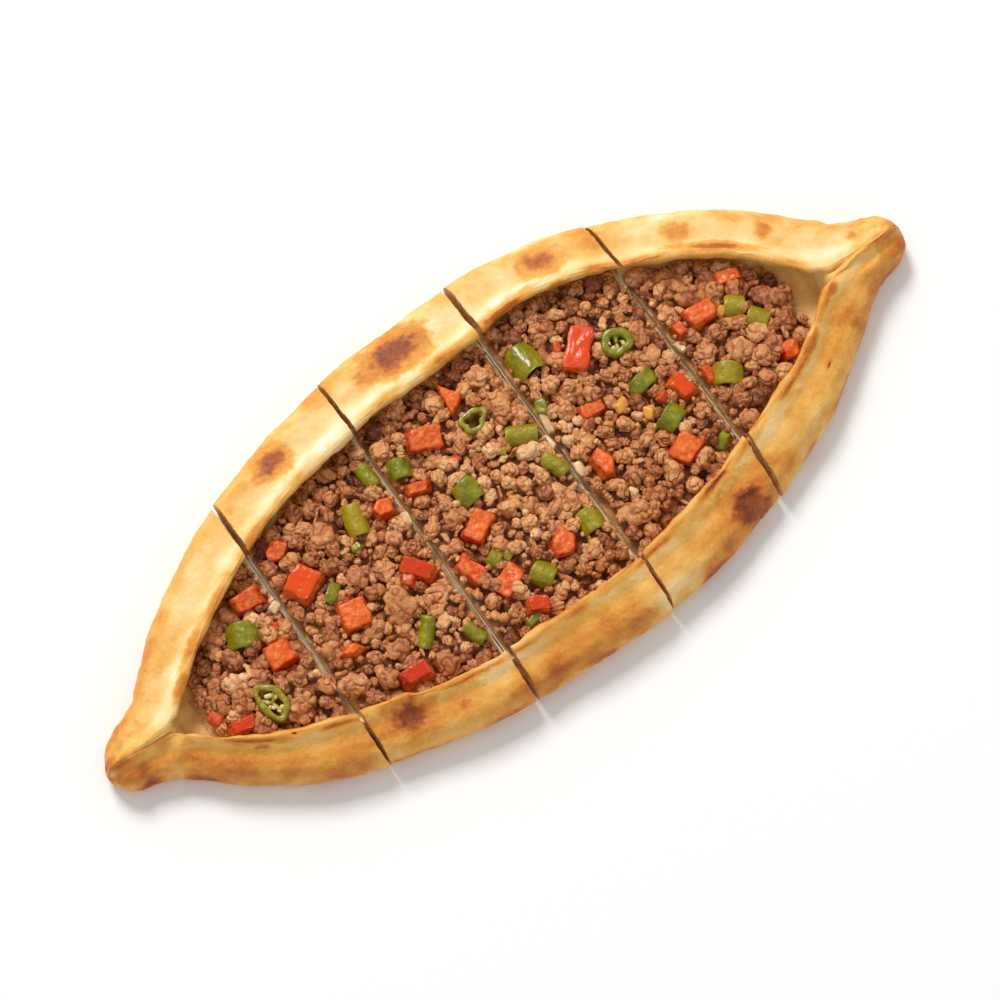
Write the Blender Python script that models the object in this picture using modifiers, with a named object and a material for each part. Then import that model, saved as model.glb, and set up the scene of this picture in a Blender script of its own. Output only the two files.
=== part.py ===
"""Turkish pide: a boat of baked dough with a folded rim and two pinched tips, filled with minced meat,
tomato and green pepper, and cut straight across into five slices that still lie together.

X runs along the boat, Y across it and Z up. The origin is under the middle of the boat, at the height of the
board that it lies on. A slice is a crust, a bed of mince and the vegetable pieces that sit in the mince.
"""

import math

import bmesh
import bpy
import numpy as np
from mathutils import Euler, Matrix, Vector

MM = 0.001

# Driving dimensions
LENGTH = 360 * MM
RIM_HEIGHT = 21 * MM
BASE_THICKNESS = 4.5 * MM
TIP_RADIUS = 9.6 * MM
CUTS = (-93.4 * MM, -35.8 * MM, 24.0 * MM, 81.8 * MM)
KNIFE_WIDTH = 1.3 * MM
CLEARANCE = 0.35 * MM

# Bed of mince
MINCE_ENDS = (-141 * MM, 132 * MM)
MINCE_HEIGHT = 12.6 * MM
MINCE_EDGE_DROP = 3.4 * MM

# Spacing of the sections along X, and of the mince's grid across Y
SECTION_STEP = 7.0 * MM
TIP_SECTIONS = 4
MINCE_COLUMNS = 11

HALF = LENGTH / 2
FAR, NEAR = 1, -1

# The rim's outside, from the crest over the flap, down the bulging side and under to the flat foot:
# millimetres in from the outline and up from the board, for a rim 23 wide and 21 high.
RIM_OUTSIDE = (
    (21.0, 21.0),
    (18.6, 20.1),
    (14.2, 17.3),
    (9.2, 16.4),
    (4.6, 14.6),
    (1.3, 10.8),
    (0.0, 6.4),
    (1.0, 2.2),
    (3.6, 0.0),
)
# The rim's inside, from the crest round the lip, back under it and down to the base.
RIM_INSIDE = (
    (22.5, 20.2),
    (23.0, 18.6),
    (22.2, 16.8),
    (20.3, 14.6),
    (19.2, 10.8),
    (20.2, 7.2),
    (23.0, 4.9),
    (27.0, 4.5),
)
RIM_WIDTH_DRAWN = 23.0
RIM_HEIGHT_DRAWN = 21.0

# The plan of the boat, in millimetres at even steps from one tip to the other: the line along the middle of the
# mouth, on which the rims meet at the tips, the outline's far and near edges, and each folded rim's width.
CENTRE_LINE = (-4.5, -5.6, -6.3, -6.0, -3.6, -2.2, -1.8, -1.6, -0.8, 0.0, 1.6, 4.0, 4.8, 4.4, 3.9, 2.2, -1.5, -0.6, 0.8)
OUTLINE = {
    FAR: (3.8, 12.5, 30.8, 44.4, 54.8, 62.3, 68.6, 73.3, 76.3, 77.6, 78.0, 77.6, 74.6, 69.5, 61.8, 51.0, 36.6, 17.0, 9.0),
    NEAR: (-13.2, -18.5, -35.7, -49.0, -57.3, -62.8, -67.4, -70.4, -71.4, -71.7, -71.6, -70.2, -66.2, -59.6, -51.2)
    + (-42.0, -28.6, -13.8, -8.6),
}
RIM_WIDTH = {
    FAR: (20.0, 24.0, 27.0, 26.8, 25.8, 25.0, 25.4, 26.4, 27.0, 27.6, 26.4, 23.4, 23.4, 25.6, 26.2, 28.6, 35.0, 30.0, 20.0),
    NEAR: (20.0, 20.0, 18.9, 19.8, 21.2, 20.2, 19.4, 20.2, 20.0, 20.8, 21.8, 23.0, 23.6, 24.6, 23.8, 23.4, 24.4, 22.0, 20.0),
}

# Small turn, in degrees, and slip across, in millimetres, of each slice after the knife.
SLICE_TURN = (0.15, -0.2, 0.1, -0.25, 0.2)
SLICE_SLIP = (-0.7, 0.2, 0.5, 1.2, 0.6)

# Tomato pieces of each slice: name, place along and across, length, width, height, turn in degrees, sides,
# and the share of the length and width that its top keeps. Lengths in millimetres, in the boat's frame.
TOMATO = (
    ("tomato_01", 1, -102.8, 19.7, 15.0, 9.6, 6.5, -6, 4, 0.80),
    ("tomato_02", 1, -104.1, -4.1, 12.0, 11.2, 8.0, -4, 4, 0.92),
    ("tomato_03", 1, -129.5, -17.4, 13.2, 7.2, 6.0, -9, 4, 0.75),
    ("tomato_04", 2, -83.8, 28.5, 12.0, 10.0, 6.5, 12, 5, 0.85),
    ("tomato_05", 2, -82.4, 12.5, 16.0, 12.2, 8.5, 24, 4, 0.90),
    ("tomato_06", 2, -73.6, -7.9, 13.0, 12.5, 7.5, -10, 4, 0.92),
    ("tomato_07", 2, -81.8, -18.1, 12.5, 7.0, 5.5, -14, 5, 0.75),
    ("tomato_08", 2, -67.4, -38.5, 15.4, 9.0, 7.5, -3, 4, 0.85),
    ("tomato_09", 2, -45.2, -6.7, 15.6, 8.4, 7.0, -52, 4, 0.80),
    ("tomato_10", 2, -42.8, 19.7, 11.2, 11.0, 7.5, 30, 5, 0.90),
    ("tomato_11", 3, -15.2, 32.4, 14.8, 9.6, 7.5, -25, 4, 0.88),
    ("tomato_12", 3, 0.2, 39.8, 15.0, 13.5, 7.0, 80, 3, 0.90),
    ("tomato_13", 3, -27.5, 18.6, 12.4, 7.0, 5.0, -20, 4, 0.80),
    ("tomato_14", 3, -17.7, -6.3, 14.0, 9.6, 7.5, 28, 4, 0.90),
    ("tomato_15", 3, -29.2, -18.0, 13.0, 7.2, 4.5, -72, 4, 0.90),
    ("tomato_16", 3, -20.2, -29.2, 15.0, 8.8, 4.5, 26, 4, 0.90),
    ("tomato_17", 3, 3.8, -29.2, 13.6, 13.0, 7.5, 10, 5, 0.92),
    ("tomato_18", 3, -16.4, -42.8, 10.8, 8.0, 6.0, -28, 4, 0.85),
    ("tomato_19", 4, 51.4, 27.8, 19.0, 11.0, 9.0, 50, 4, 0.88),
    ("tomato_20", 4, 42.6, 6.2, 12.5, 8.4, 5.5, -6, 4, 0.80),
    ("tomato_21", 4, 33.4, -13.6, 16.5, 11.5, 7.0, 86, 5, 0.86),
    ("tomato_22", 4, 62.2, -26.0, 12.6, 12.0, 8.0, 26, 4, 0.94),
    ("tomato_23", 4, 74.5, -5.6, 13.4, 8.2, 7.0, -72, 4, 0.80),
    ("tomato_24", 5, 96.8, 14.2, 13.5, 9.0, 7.5, 0, 4, 0.92),
    ("tomato_25", 5, 113.7, 20.3, 11.5, 8.4, 7.0, -14, 4, 0.90),
    ("tomato_26", 5, 116.4, -15.4, 12.0, 10.4, 7.0, 12, 5, 0.85),
    ("tomato_27", 5, 86.6, 13.7, 5.0, 8.0, 6.5, 4, 4, 0.80),
)

# Strips of pepper wall lying skin up: name, slice, place along and across, chord of the arch, length along the
# pepper, height of the arch, turn in degrees of the arch's chord, roll in degrees about the pepper's length.
PEPPER_STRIPS = (
    ("pepper_01", 1, -111.2, 9.9, 12.8, 9.6, 5.0, -20, 0),
    ("pepper_02", 2, -40.5, 33.1, 6.4, 10.0, 3.5, 4, 0),
    ("pepper_03", 2, -53.3, 21.9, 9.4, 12.2, 4.0, -14, 8),
    ("pepper_04", 2, -55.8, -28.0, 6.2, 12.0, 3.2, -42, 0),
    ("pepper_05", 2, -41.2, -38.5, 6.0, 9.0, 3.2, 18, 0),
    ("pepper_06", 3, -29.4, 28.4, 9.4, 7.6, 4.5, -14, 0),
    ("pepper_07", 3, -13.1, 6.8, 11.0, 9.0, 4.8, 6, 0),
    ("pepper_08", 3, 15.2, 13.8, 9.4, 12.0, 5.4, 62, 0),
    ("pepper_09", 3, 19.0, -3.2, 5.4, 10.0, 3.0, 12, 0),
    ("pepper_10", 3, 17.4, -27.6, 10.4, 9.2, 4.5, -4, 0),
    ("pepper_11", 3, -8.3, -34.4, 10.0, 9.0, 4.5, 32, 0),
    ("pepper_12", 3, -19.6, -19.5, 8.0, 5.0, 3.2, 24, 0),
    ("pepper_13", 4, 32.4, 36.0, 13.2, 12.8, 5.2, 4, 0),
    ("pepper_14", 4, 63.8, 4.2, 14.0, 6.2, 4.5, 12, 0),
    ("pepper_15", 4, 64.8, -13.0, 13.2, 7.4, 5.8, 24, 0),
    ("pepper_16", 5, 109.6, 9.9, 10.4, 7.8, 4.5, 54, 0),
    ("pepper_17", 5, 114.0, 0.9, 9.2, 8.4, 4.5, 38, 0),
    ("pepper_18", 5, 91.6, -10.5, 12.4, 8.6, 4.3, -34, 0),
)

# Rings sliced across a thin pepper: name, slice, place, outer length and width, thickness, turn in degrees.
PEPPER_RINGS = (
    ("pepper_19", 1, -116.2, -17.2, 16.6, 10.4, 5.0, 98),
    ("pepper_20", 3, 3.8, 28.0, 11.5, 9.2, 4.0, 12),
    ("pepper_21", 4, 64.6, 22.2, 12.8, 11.4, 5.5, -8),
)
PEPPER_WALL = 1.9 * MM
TOPPING_SINK = 0.50
POCKET_DEPTH = 20 * MM


# ---------------------------------------------------------------------------------------------------------------
# The boat's outline and its cross-section


def smooth_step(value, start, end):
    """0 before start, 1 after end, and an S-curve between."""
    share = np.clip((value - start) / (end - start), 0.0, 1.0)
    return share * share * (3.0 - 2.0 * share)


def along_boat(values, x):
    """A plan line's value at x, in metres: a smooth Catmull-Rom curve through values at even steps along the boat."""
    share = (x + HALF) / LENGTH * (len(values) - 1)
    at = min(max(int(share), 0), len(values) - 2)
    t = share - at
    p1, p2 = values[at], values[at + 1]
    p0 = values[at - 1] if at > 0 else 2 * p1 - p2
    p3 = values[at + 2] if at + 2 < len(values) else 2 * p2 - p1
    bend = 2 * p0 - 5 * p1 + 4 * p2 - p3
    return 0.5 * (2 * p1 + (p2 - p0) * t + bend * t**2 + (3 * p1 - p0 - 3 * p2 + p3) * t**3) * MM


def centre_line(x):
    """The line along the middle of the mouth, and along the seam at the tips."""
    return along_boat(CENTRE_LINE, x)


def tip_rounding(x):
    """1 along the boat, falling as a circle's height does over the last tip radius."""
    past = np.clip((abs(x) - (HALF - TIP_RADIUS)) / TIP_RADIUS, 0.0, 1.0)
    return math.sqrt(max(1.0 - past**2, 0.0))


def half_width(x, side):
    """Distance from the centre line to the outline on one side."""
    return side * (along_boat(OUTLINE[side], x) - centre_line(x))


def wobble(x, side):
    """Hand-made unevenness of one rim, between about -1 and 1."""
    t = x / HALF
    phase = 0.8 if side == FAR else 2.9
    return 0.6 * math.sin(9.0 * t + phase) + 0.4 * math.sin(21.0 * t + 2.0 * phase)


def mouth(x, side):
    """Distance from the centre line to the rim's lip, 0 where the two rims have met."""
    free = half_width(x, side) - along_boat(RIM_WIDTH[side], x)
    soft = 1.2 * MM
    return soft * math.log1p(math.exp(min(free / soft, 60.0)))


def crest_height(x, side):
    """Height of the rim's crest. It sinks towards the tips, where one rim laps a little over the other."""
    t = abs(x) / HALF
    lap = 1.2 * MM * (1 if x * side < 0 else -1) * smooth_step(t, 0.78, 0.9)
    return RIM_HEIGHT - 4.0 * MM * smooth_step(t, 0.70, 1.0) + 0.6 * MM * wobble(x, -side) + lap


def section_side(x, side):
    """One side's outside and inside lines at x, as (y, z) points. Both start at the crest."""
    edge = centre_line(x) + side * half_width(x, side) * tip_rounding(x)
    opening = mouth(x, side)
    inward = half_width(x, side) - opening
    stretch = inward / RIM_WIDTH_DRAWN
    lift = crest_height(x, side) / RIM_HEIGHT_DRAWN
    mean_opening = (mouth(x, FAR) + mouth(x, NEAR)) / 2
    depth = smooth_step(mean_opening, 0.4 * MM, 4.5 * MM)
    rounding = tip_rounding(x)
    foot = (1.0 - rounding) * 5.0 * MM

    def place(point_in, point_up):
        y = edge - side * point_in * stretch * rounding
        return (y, foot + point_up * rounding)

    outside = [place(a, z * lift) for a, z in RIM_OUTSIDE]
    crease_floor = crest_height(x, side) - 2.6 * MM
    inside = []
    for a, z in RIM_INSIDE:
        # Where the rims have met, the cavity closes to a shallow crease between them.
        share = (crest_height(x, side) - z * lift) / (crest_height(x, side) - BASE_THICKNESS)
        crease_up = crest_height(x, side) - share * (crest_height(x, side) - crease_floor)
        crease_in = RIM_OUTSIDE[0][0] + (RIM_WIDTH_DRAWN - 0.15 - RIM_OUTSIDE[0][0]) * share
        base_up = z * MM if z < 5.0 else z * lift
        over_floor = min(a, RIM_WIDTH_DRAWN + opening / stretch * 0.8)
        inside.append(
            place(
                crease_in + (over_floor - crease_in) * depth,
                crease_up + (base_up - crease_up) * depth,
            )
        )
    return outside, inside


def section(x):
    """The closed cross-section at x: the outside line from the far crest under the boat to the near crest, then
    the inside line back. Returns the points and how many belong to the outside."""
    far_out, far_in = section_side(x, FAR)
    near_out, near_in = section_side(x, NEAR)
    outside = far_out + near_out[::-1]
    inside = near_in + far_in[::-1]
    return outside + inside, len(outside)


# ---------------------------------------------------------------------------------------------------------------
# Meshes


def new_object(name, mesh, material, parent, collection):
    """A named object with its material, hung on its parent empty."""
    thing = bpy.data.objects.new(name, mesh)
    collection.objects.link(thing)
    thing.parent = parent
    if material is not None:
        mesh.materials.append(material)
    return thing


def loft(name, stations, loop_of, closed_start=False, closed_end=False):
    """Skins equal closed loops set across X. An end is either a flat cut face or, at a tip, drawn to one point."""
    bm = bmesh.new()
    rings = []
    for x in stations:
        points, outside_count = loop_of(x)
        rings.append([bm.verts.new((x, y, z)) for y, z in points])
    count = len(rings[0])
    for ring, following in zip(rings, rings[1:]):
        for i in range(count):
            j = (i + 1) % count
            bm.faces.new((ring[i], ring[j], following[j], following[i]))
    for ring, pointed, first in ((rings[0], closed_start, True), (rings[-1], closed_end, False)):
        if pointed:
            centre = sum((v.co for v in ring), Vector()) / count
            centre.x = math.copysign(HALF, centre.x)
            point = bm.verts.new(centre)
            faces = [(ring[(i + 1) % count], ring[i], point) for i in range(count)]
        else:
            # A cut face is a strip between the outside line and the inside line.
            inner = ring[outside_count:][::-1]
            outer = ring[:outside_count]
            faces = cut_face(outer, inner)
        for corners in faces:
            bm.faces.new(corners if first else corners[::-1])
    bmesh.ops.recalc_face_normals(bm, faces=bm.faces[:])
    mesh = bpy.data.meshes.new(name)
    bm.to_mesh(mesh)
    bm.free()
    mesh.shade_smooth()
    mesh.set_sharp_from_angle(angle=math.radians(50))
    return mesh


def cut_face(outer, inner):
    """Faces between two lines that both run crest to crest. The outer has two more points, the crests."""
    line = [outer[0]] + list(inner) + [outer[-1]]
    faces = []
    i = j = 0
    while i < len(outer) - 1 or j < len(line) - 1:
        along_outer = i / (len(outer) - 1)
        along_line = j / (len(line) - 1)
        if j == len(line) - 1 or (i < len(outer) - 1 and along_outer <= along_line):
            corners = (outer[i], outer[i + 1], line[j])
            i += 1
        else:
            corners = (outer[i], line[j + 1], line[j])
            j += 1
        if len(set(corners)) == 3:
            faces.append(corners)
    return faces


def slice_ends(index):
    """The two X positions between which slice 1 to 5 lies."""
    edges = (-HALF,) + CUTS + (HALF,)
    start = edges[index - 1] + (KNIFE_WIDTH / 2 if index > 1 else 0.0)
    end = edges[index] - (KNIFE_WIDTH / 2 if index < 5 else 0.0)
    return start, end


def stations_between(start, end):
    """Even steps along X, with closer ones round a tip."""
    inner_start = start + TIP_RADIUS if start <= -HALF else start
    inner_end = end - TIP_RADIUS if end >= HALF else end
    count = max(2, round((inner_end - inner_start) / SECTION_STEP))
    stations = [inner_start + (inner_end - inner_start) * i / count for i in range(count + 1)]
    angles = [math.pi / 2 * (i + 1) / (TIP_SECTIONS + 1) for i in range(TIP_SECTIONS)]
    if inner_start > start:
        stations = [inner_start - TIP_RADIUS * math.sin(a) for a in reversed(angles)] + stations
    if inner_end < end:
        stations = stations + [inner_end + TIP_RADIUS * math.sin(a) for a in angles]
    return stations


def make_crust(index, material, parent, collection):
    """The dough of one slice: base and both rims in one piece, with the tip on an end slice."""
    start, end = slice_ends(index)
    mesh = loft(
        f"crust_{index}",
        stations_between(start, end),
        section,
        closed_start=index == 1,
        closed_end=index == 5,
    )
    return new_object(f"crust_{index}", mesh, material, parent, collection)


def mince_half_widths(x):
    """How far the mince reaches from the centre line to the far side and the near side."""
    return mouth(x, FAR) - 0.4 * MM, mouth(x, NEAR) - 0.4 * MM


def mince_height(x, y):
    """Top of the bed of mince: an even layer that drops at its edge and towards the tips, and is uneven."""
    far, near = mince_half_widths(x)
    across = y - centre_line(x)
    from_edge = min(far - across, near + across)
    drop = MINCE_EDGE_DROP * (1.0 - smooth_step(from_edge, 0.0, 11 * MM))
    from_end = min(x - MINCE_ENDS[0], MINCE_ENDS[1] - x)
    end_drop = 2.6 * MM * (1.0 - smooth_step(from_end, 0.0, 22 * MM))
    u, v = x / MM, y / MM
    lumps = 0.55 * math.sin(0.31 * u + 0.8) * math.sin(0.37 * v + 1.9)
    lumps += 0.35 * math.sin(0.63 * u + 0.49 * v) + 0.3 * math.sin(0.55 * v - 0.71 * u + 1.0)
    return MINCE_HEIGHT - drop - end_drop + lumps * MM


def mince_section(x):
    """Closed section of the mince: its uneven top, then the flat underside on the base."""
    far, near = mince_half_widths(x)
    centre = centre_line(x)
    shares = np.linspace(1.0, -1.0, MINCE_COLUMNS)
    top = []
    for share in shares:
        reach = far if share > 0 else near
        y = centre + share * reach
        top.append((y, mince_height(x, y)))
    floor = BASE_THICKNESS + CLEARANCE
    inset = 1.6 * MM
    under = [(centre - near + inset, floor), (centre + far - inset, floor)]
    return top + under, len(top)


def make_mince(index, material, parent, collection):
    """The mince of one slice, cut flush with its crust."""
    start, end = slice_ends(index)
    start, end = max(start, MINCE_ENDS[0]), min(end, MINCE_ENDS[1])
    mesh = loft(f"mince_{index}", stations_between(start, end), mince_section)
    return new_object(f"mince_{index}", mesh, material, parent, collection)


def sit_in_mince(x, y, height):
    """Height of the middle of a topping whose lower part is sunk in the mince."""
    return mince_height(x, y) + height * (0.5 - TOPPING_SINK) + 0.4 * MM


def make_chunk(name, size, turn, sides, top_share, place, material, parent, collection):
    """A cut piece of tomato: a prism of three to five sides, narrower at the top, with its edges taken off."""
    bm = bmesh.new()
    bmesh.ops.create_cone(
        bm, cap_ends=True, segments=sides, radius1=0.5, radius2=0.5 * top_share, depth=1.0
    )
    quarter = Matrix.Rotation(math.pi / sides, 4, "Z")
    bm.transform(quarter)
    reach_x = max(abs(v.co.x) for v in bm.verts)
    reach_y = max(abs(v.co.y) for v in bm.verts)
    bm.transform(Matrix.Diagonal((size[0] / 2 / reach_x, size[1] / 2 / reach_y, size[2], 1.0)))
    bmesh.ops.recalc_face_normals(bm, faces=bm.faces[:])
    mesh = bpy.data.meshes.new(name)
    bm.to_mesh(mesh)
    bm.free()
    chunk = new_object(name, mesh, material, parent, collection)
    chunk.location = place
    chunk.rotation_euler = Euler((0.0, 0.0, math.radians(turn)))
    rounded = chunk.modifiers.new("cut edges", "BEVEL")
    rounded.width = 0.9 * MM
    rounded.segments = 1
    return chunk


def arch_mesh(name, chord, length, height):
    """An open strip of pepper wall: an arc over its chord, carried along the pepper's length."""
    radius = (chord**2 / 4 + height**2) / (2 * height)
    half_angle = math.asin(min(chord / 2 / radius, 1.0))
    if height > radius:
        half_angle = math.pi - half_angle
    steps = 8
    angles = np.linspace(-half_angle, half_angle, steps + 1)
    bm = bmesh.new()
    rows = []
    for along in (-length / 2, length / 2):
        rows.append(
            [bm.verts.new((radius * math.sin(a), along, radius * (math.cos(a) - 1) + height)) for a in angles]
        )
    for i in range(steps):
        bm.faces.new((rows[0][i], rows[0][i + 1], rows[1][i + 1], rows[1][i]))
    mesh = bpy.data.meshes.new(name)
    bm.to_mesh(mesh)
    bm.free()
    return mesh


def make_strip(name, chord, length, height, turn, roll, place, material, parent, collection):
    """A curved piece of pepper, skin up, with the wall's real thickness."""
    mesh = arch_mesh(name, chord - PEPPER_WALL, length, height - PEPPER_WALL / 2)
    strip = new_object(name, mesh, material, parent, collection)
    strip.location = place
    strip.rotation_euler = Euler((0.0, math.radians(roll), math.radians(turn)))
    wall = strip.modifiers.new("wall", "SOLIDIFY")
    wall.thickness = PEPPER_WALL
    wall.offset = 0.0
    return strip


def make_ring(name, length, width, thickness, turn, place, material, parent, collection):
    """A slice across a pepper: an upright oval wall round its hollow."""
    around = 16
    bm = bmesh.new()
    loops = []
    for inset, z in ((0.0, -0.5), (0.0, 0.5), (1.0, 0.5), (1.0, -0.5)):
        a = length / 2 - inset * PEPPER_WALL
        b = width / 2 - inset * PEPPER_WALL
        angles = [2 * math.pi * i / around for i in range(around)]
        loops.append([bm.verts.new((a * math.cos(t), b * math.sin(t), z * thickness)) for t in angles])
    for loop, following in zip(loops, loops[1:] + loops[:1]):
        for i in range(around):
            j = (i + 1) % around
            bm.faces.new((loop[i], loop[j], following[j], following[i]))
    bmesh.ops.recalc_face_normals(bm, faces=bm.faces[:])
    mesh = bpy.data.meshes.new(name)
    bm.to_mesh(mesh)
    bm.free()
    ring = new_object(name, mesh, material, parent, collection)
    ring.location = place
    ring.rotation_euler = Euler((0.0, 0.0, math.radians(turn)))
    return ring


def add_pocket(size, turn, place, bottom, parent, pockets):
    """A straight-sided block that presses room into the mince for one topping, a little larger than it."""
    bm = bmesh.new()
    bmesh.ops.create_cube(bm, size=1.0)
    bm.transform(
        Matrix.Diagonal((size[0] + 2 * CLEARANCE, size[1] + 2 * CLEARANCE, POCKET_DEPTH, 1.0))
    )
    mesh = bpy.data.meshes.new("pocket")
    bm.to_mesh(mesh)
    bm.free()
    pocket = bpy.data.objects.new("pocket", mesh)
    pockets.objects.link(pocket)
    pocket.parent = parent
    pocket.location = (place[0], place[1], bottom - CLEARANCE + POCKET_DEPTH / 2)
    pocket.rotation_euler = Euler((0.0, 0.0, math.radians(turn)))
    pocket.hide_render = True
    pocket.display_type = "WIRE"


def press_pockets(mince, pockets):
    """Takes a slice's pockets out of its mince."""
    cut = mince.modifiers.new("pockets", "BOOLEAN")
    cut.operation = "DIFFERENCE"
    cut.operand_type = "COLLECTION"
    cut.collection = pockets


# ---------------------------------------------------------------------------------------------------------------
# Materials and assembly


def surface(name, colour, roughness):
    """A plain Principled material."""
    material = bpy.data.materials.new(name)
    material.use_nodes = True
    shader = material.node_tree.nodes["Principled BSDF"]
    shader.inputs["Base Color"].default_value = (*colour, 1.0)
    shader.inputs["Roughness"].default_value = roughness
    shader.inputs["Metallic"].default_value = 0.0
    return material


def outline_middle():
    """Y of the middle of the whole outline, so that the slices' empties can centre the boat on the X axis."""
    stations = np.linspace(-HALF, HALF, 181)
    far = max(along_boat(OUTLINE[FAR], x) for x in stations)
    near = min(along_boat(OUTLINE[NEAR], x) for x in stations)
    return (far + near) / 2


def make_slice_empties(collection):
    """One empty for each slice, in its middle, that carries the slice's small turn and slip."""
    empties = {}
    aside = outline_middle()
    for index in range(1, 6):
        start, end = slice_ends(index)
        middle = (start + end) / 2
        empty = bpy.data.objects.new(f"slice_{index}", None)
        collection.objects.link(empty)
        empty.location = (middle, SLICE_SLIP[index - 1] * MM - aside, 0.0)
        empty.rotation_euler = Euler((0.0, 0.0, math.radians(SLICE_TURN[index - 1])))
        empties[index] = empty
    return empties


def hang(thing, middle):
    """Shifts a child that was placed in the boat's frame into its slice's frame."""
    thing.location.x -= middle


def build():
    for thing in list(bpy.data.objects):
        bpy.data.objects.remove(thing)
    pide = bpy.data.collections.new("turkish_pide")
    cutters = bpy.data.collections.new("cutters")
    bpy.context.scene.collection.children.link(pide)
    bpy.context.scene.collection.children.link(cutters)
    pockets = {}

    dough = surface("baked dough", (0.80, 0.53, 0.22), 0.6)
    meat = surface("minced meat", (0.26, 0.10, 0.05), 0.45)
    tomato = surface("tomato", (0.62, 0.07, 0.02), 0.3)
    pepper = surface("green pepper", (0.14, 0.24, 0.01), 0.25)

    empties = make_slice_empties(pide)
    middles = {index: sum(slice_ends(index)) / 2 for index in empties}
    mince = {}
    for index, empty in empties.items():
        crust = make_crust(index, dough, empty, pide)
        mince[index] = make_mince(index, meat, empty, pide)
        hang(crust, middles[index])
        hang(mince[index], middles[index])
        pockets[index] = bpy.data.collections.new(f"pockets_{index}")
        cutters.children.link(pockets[index])

    for name, index, x, y, length, width, height, turn, sides, top in TOMATO:
        x, y, size = x * MM, y * MM, (length * MM, width * MM, height * MM)
        place = (x - middles[index], y, sit_in_mince(x, y, size[2]))
        make_chunk(name, size, turn, sides, top, place, tomato, empties[index], pide)
        add_pocket(size, turn, place, place[2] - size[2] / 2, empties[index], pockets[index])

    for name, index, x, y, chord, length, height, turn, roll in PEPPER_STRIPS:
        x, y = x * MM, y * MM
        chord, length, height = chord * MM, length * MM, height * MM
        bottom = sit_in_mince(x, y, height) - height / 2
        place = (x - middles[index], y, bottom)
        make_strip(name, chord, length, height, turn, roll, place, pepper, empties[index], pide)
        bottom -= PEPPER_WALL / 2
        add_pocket((chord, length), turn, place, bottom, empties[index], pockets[index])

    for name, index, x, y, length, width, thickness, turn in PEPPER_RINGS:
        x, y = x * MM, y * MM
        length, width, thickness = length * MM, width * MM, thickness * MM
        place = (x - middles[index], y, sit_in_mince(x, y, thickness))
        make_ring(name, length, width, thickness, turn, place, pepper, empties[index], pide)
        bottom = place[2] - thickness / 2
        add_pocket((length, width), turn, place, bottom, empties[index], pockets[index])

    for index, bed in mince.items():
        press_pockets(bed, pockets[index])


build()
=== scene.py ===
"""Looks of a turkish pide: baked dough with a browned rim, crumbled mince, tomato dice and green pepper.

The dough, the mince and every topping are surfaces worked out as arrays in the boat's own frame, where X runs
from tip to tip. Each slice's pieces are then turned and slipped as its crust is, and stand for the CAD nodes.
"""

import math

import bmesh
import bpy
import numpy as np
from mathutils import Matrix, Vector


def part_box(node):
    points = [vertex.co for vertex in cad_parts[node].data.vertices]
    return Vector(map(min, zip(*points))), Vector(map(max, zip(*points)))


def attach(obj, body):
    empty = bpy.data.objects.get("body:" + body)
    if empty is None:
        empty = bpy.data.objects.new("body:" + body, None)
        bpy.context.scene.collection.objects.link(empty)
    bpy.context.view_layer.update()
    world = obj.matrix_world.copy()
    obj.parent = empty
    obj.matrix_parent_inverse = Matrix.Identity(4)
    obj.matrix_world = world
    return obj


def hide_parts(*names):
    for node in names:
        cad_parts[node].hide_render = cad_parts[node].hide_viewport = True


MM = 0.001
FAR, NEAR = 1, -1

# Driving sizes of the boat, as the frame has them
HALF = 180 * MM
RIM_HEIGHT = 21 * MM
BASE_THICKNESS = 4.5 * MM
TIP_RADIUS = 9.6 * MM
CUTS = (-93.4 * MM, -35.8 * MM, 24.0 * MM, 81.8 * MM)
KNIFE_WIDTH = 1.3 * MM
FIRST, LAST = 1, 5
SLICE_TURN = (0.15, -0.2, 0.1, -0.25, 0.2)
SLICE_SLIP = (-0.7, 0.2, 0.5, 1.2, 0.6)

# The plan of the boat, in millimetres at even steps from one tip to the other: the line along the middle of
# the mouth, on which the rims meet at the tips, the outline's far and near edges, and each rim's width.
CENTRE_LINE = (
    (-4.5, -5.6, -6.3, -6.0, -3.6, -2.2, -1.8, -1.6, -0.8, 0.0)
    + (1.6, 4.0, 4.8, 4.4, 3.9, 2.2, -1.5, -0.6, 0.8)
)
OUTLINE = {
    FAR: (3.8, 12.5, 30.8, 44.4, 54.8, 62.3, 68.6, 73.3, 76.3, 77.6)
    + (78.0, 77.6, 74.6, 69.5, 61.8, 51.0, 36.6, 17.0, 9.0),
    NEAR: (-13.2, -18.5, -35.7, -49.0, -57.3, -62.8, -67.4, -70.4, -71.4, -71.7)
    + (-71.6, -70.2, -66.2, -59.6, -51.2, -42.0, -28.6, -13.8, -8.6),
}
RIM_WIDTH = {
    FAR: (20.0, 24.0, 27.0, 26.8, 25.8, 25.0, 25.4, 26.4, 27.0, 27.6)
    + (26.4, 23.4, 23.4, 25.6, 26.2, 28.6, 35.0, 30.0, 20.0),
    NEAR: (20.0, 20.0, 18.9, 19.8, 21.2, 20.2, 19.4, 20.2, 20.0, 20.8)
    + (21.8, 23.0, 23.6, 24.6, 23.8, 23.4, 24.4, 22.0, 20.0),
}

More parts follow.
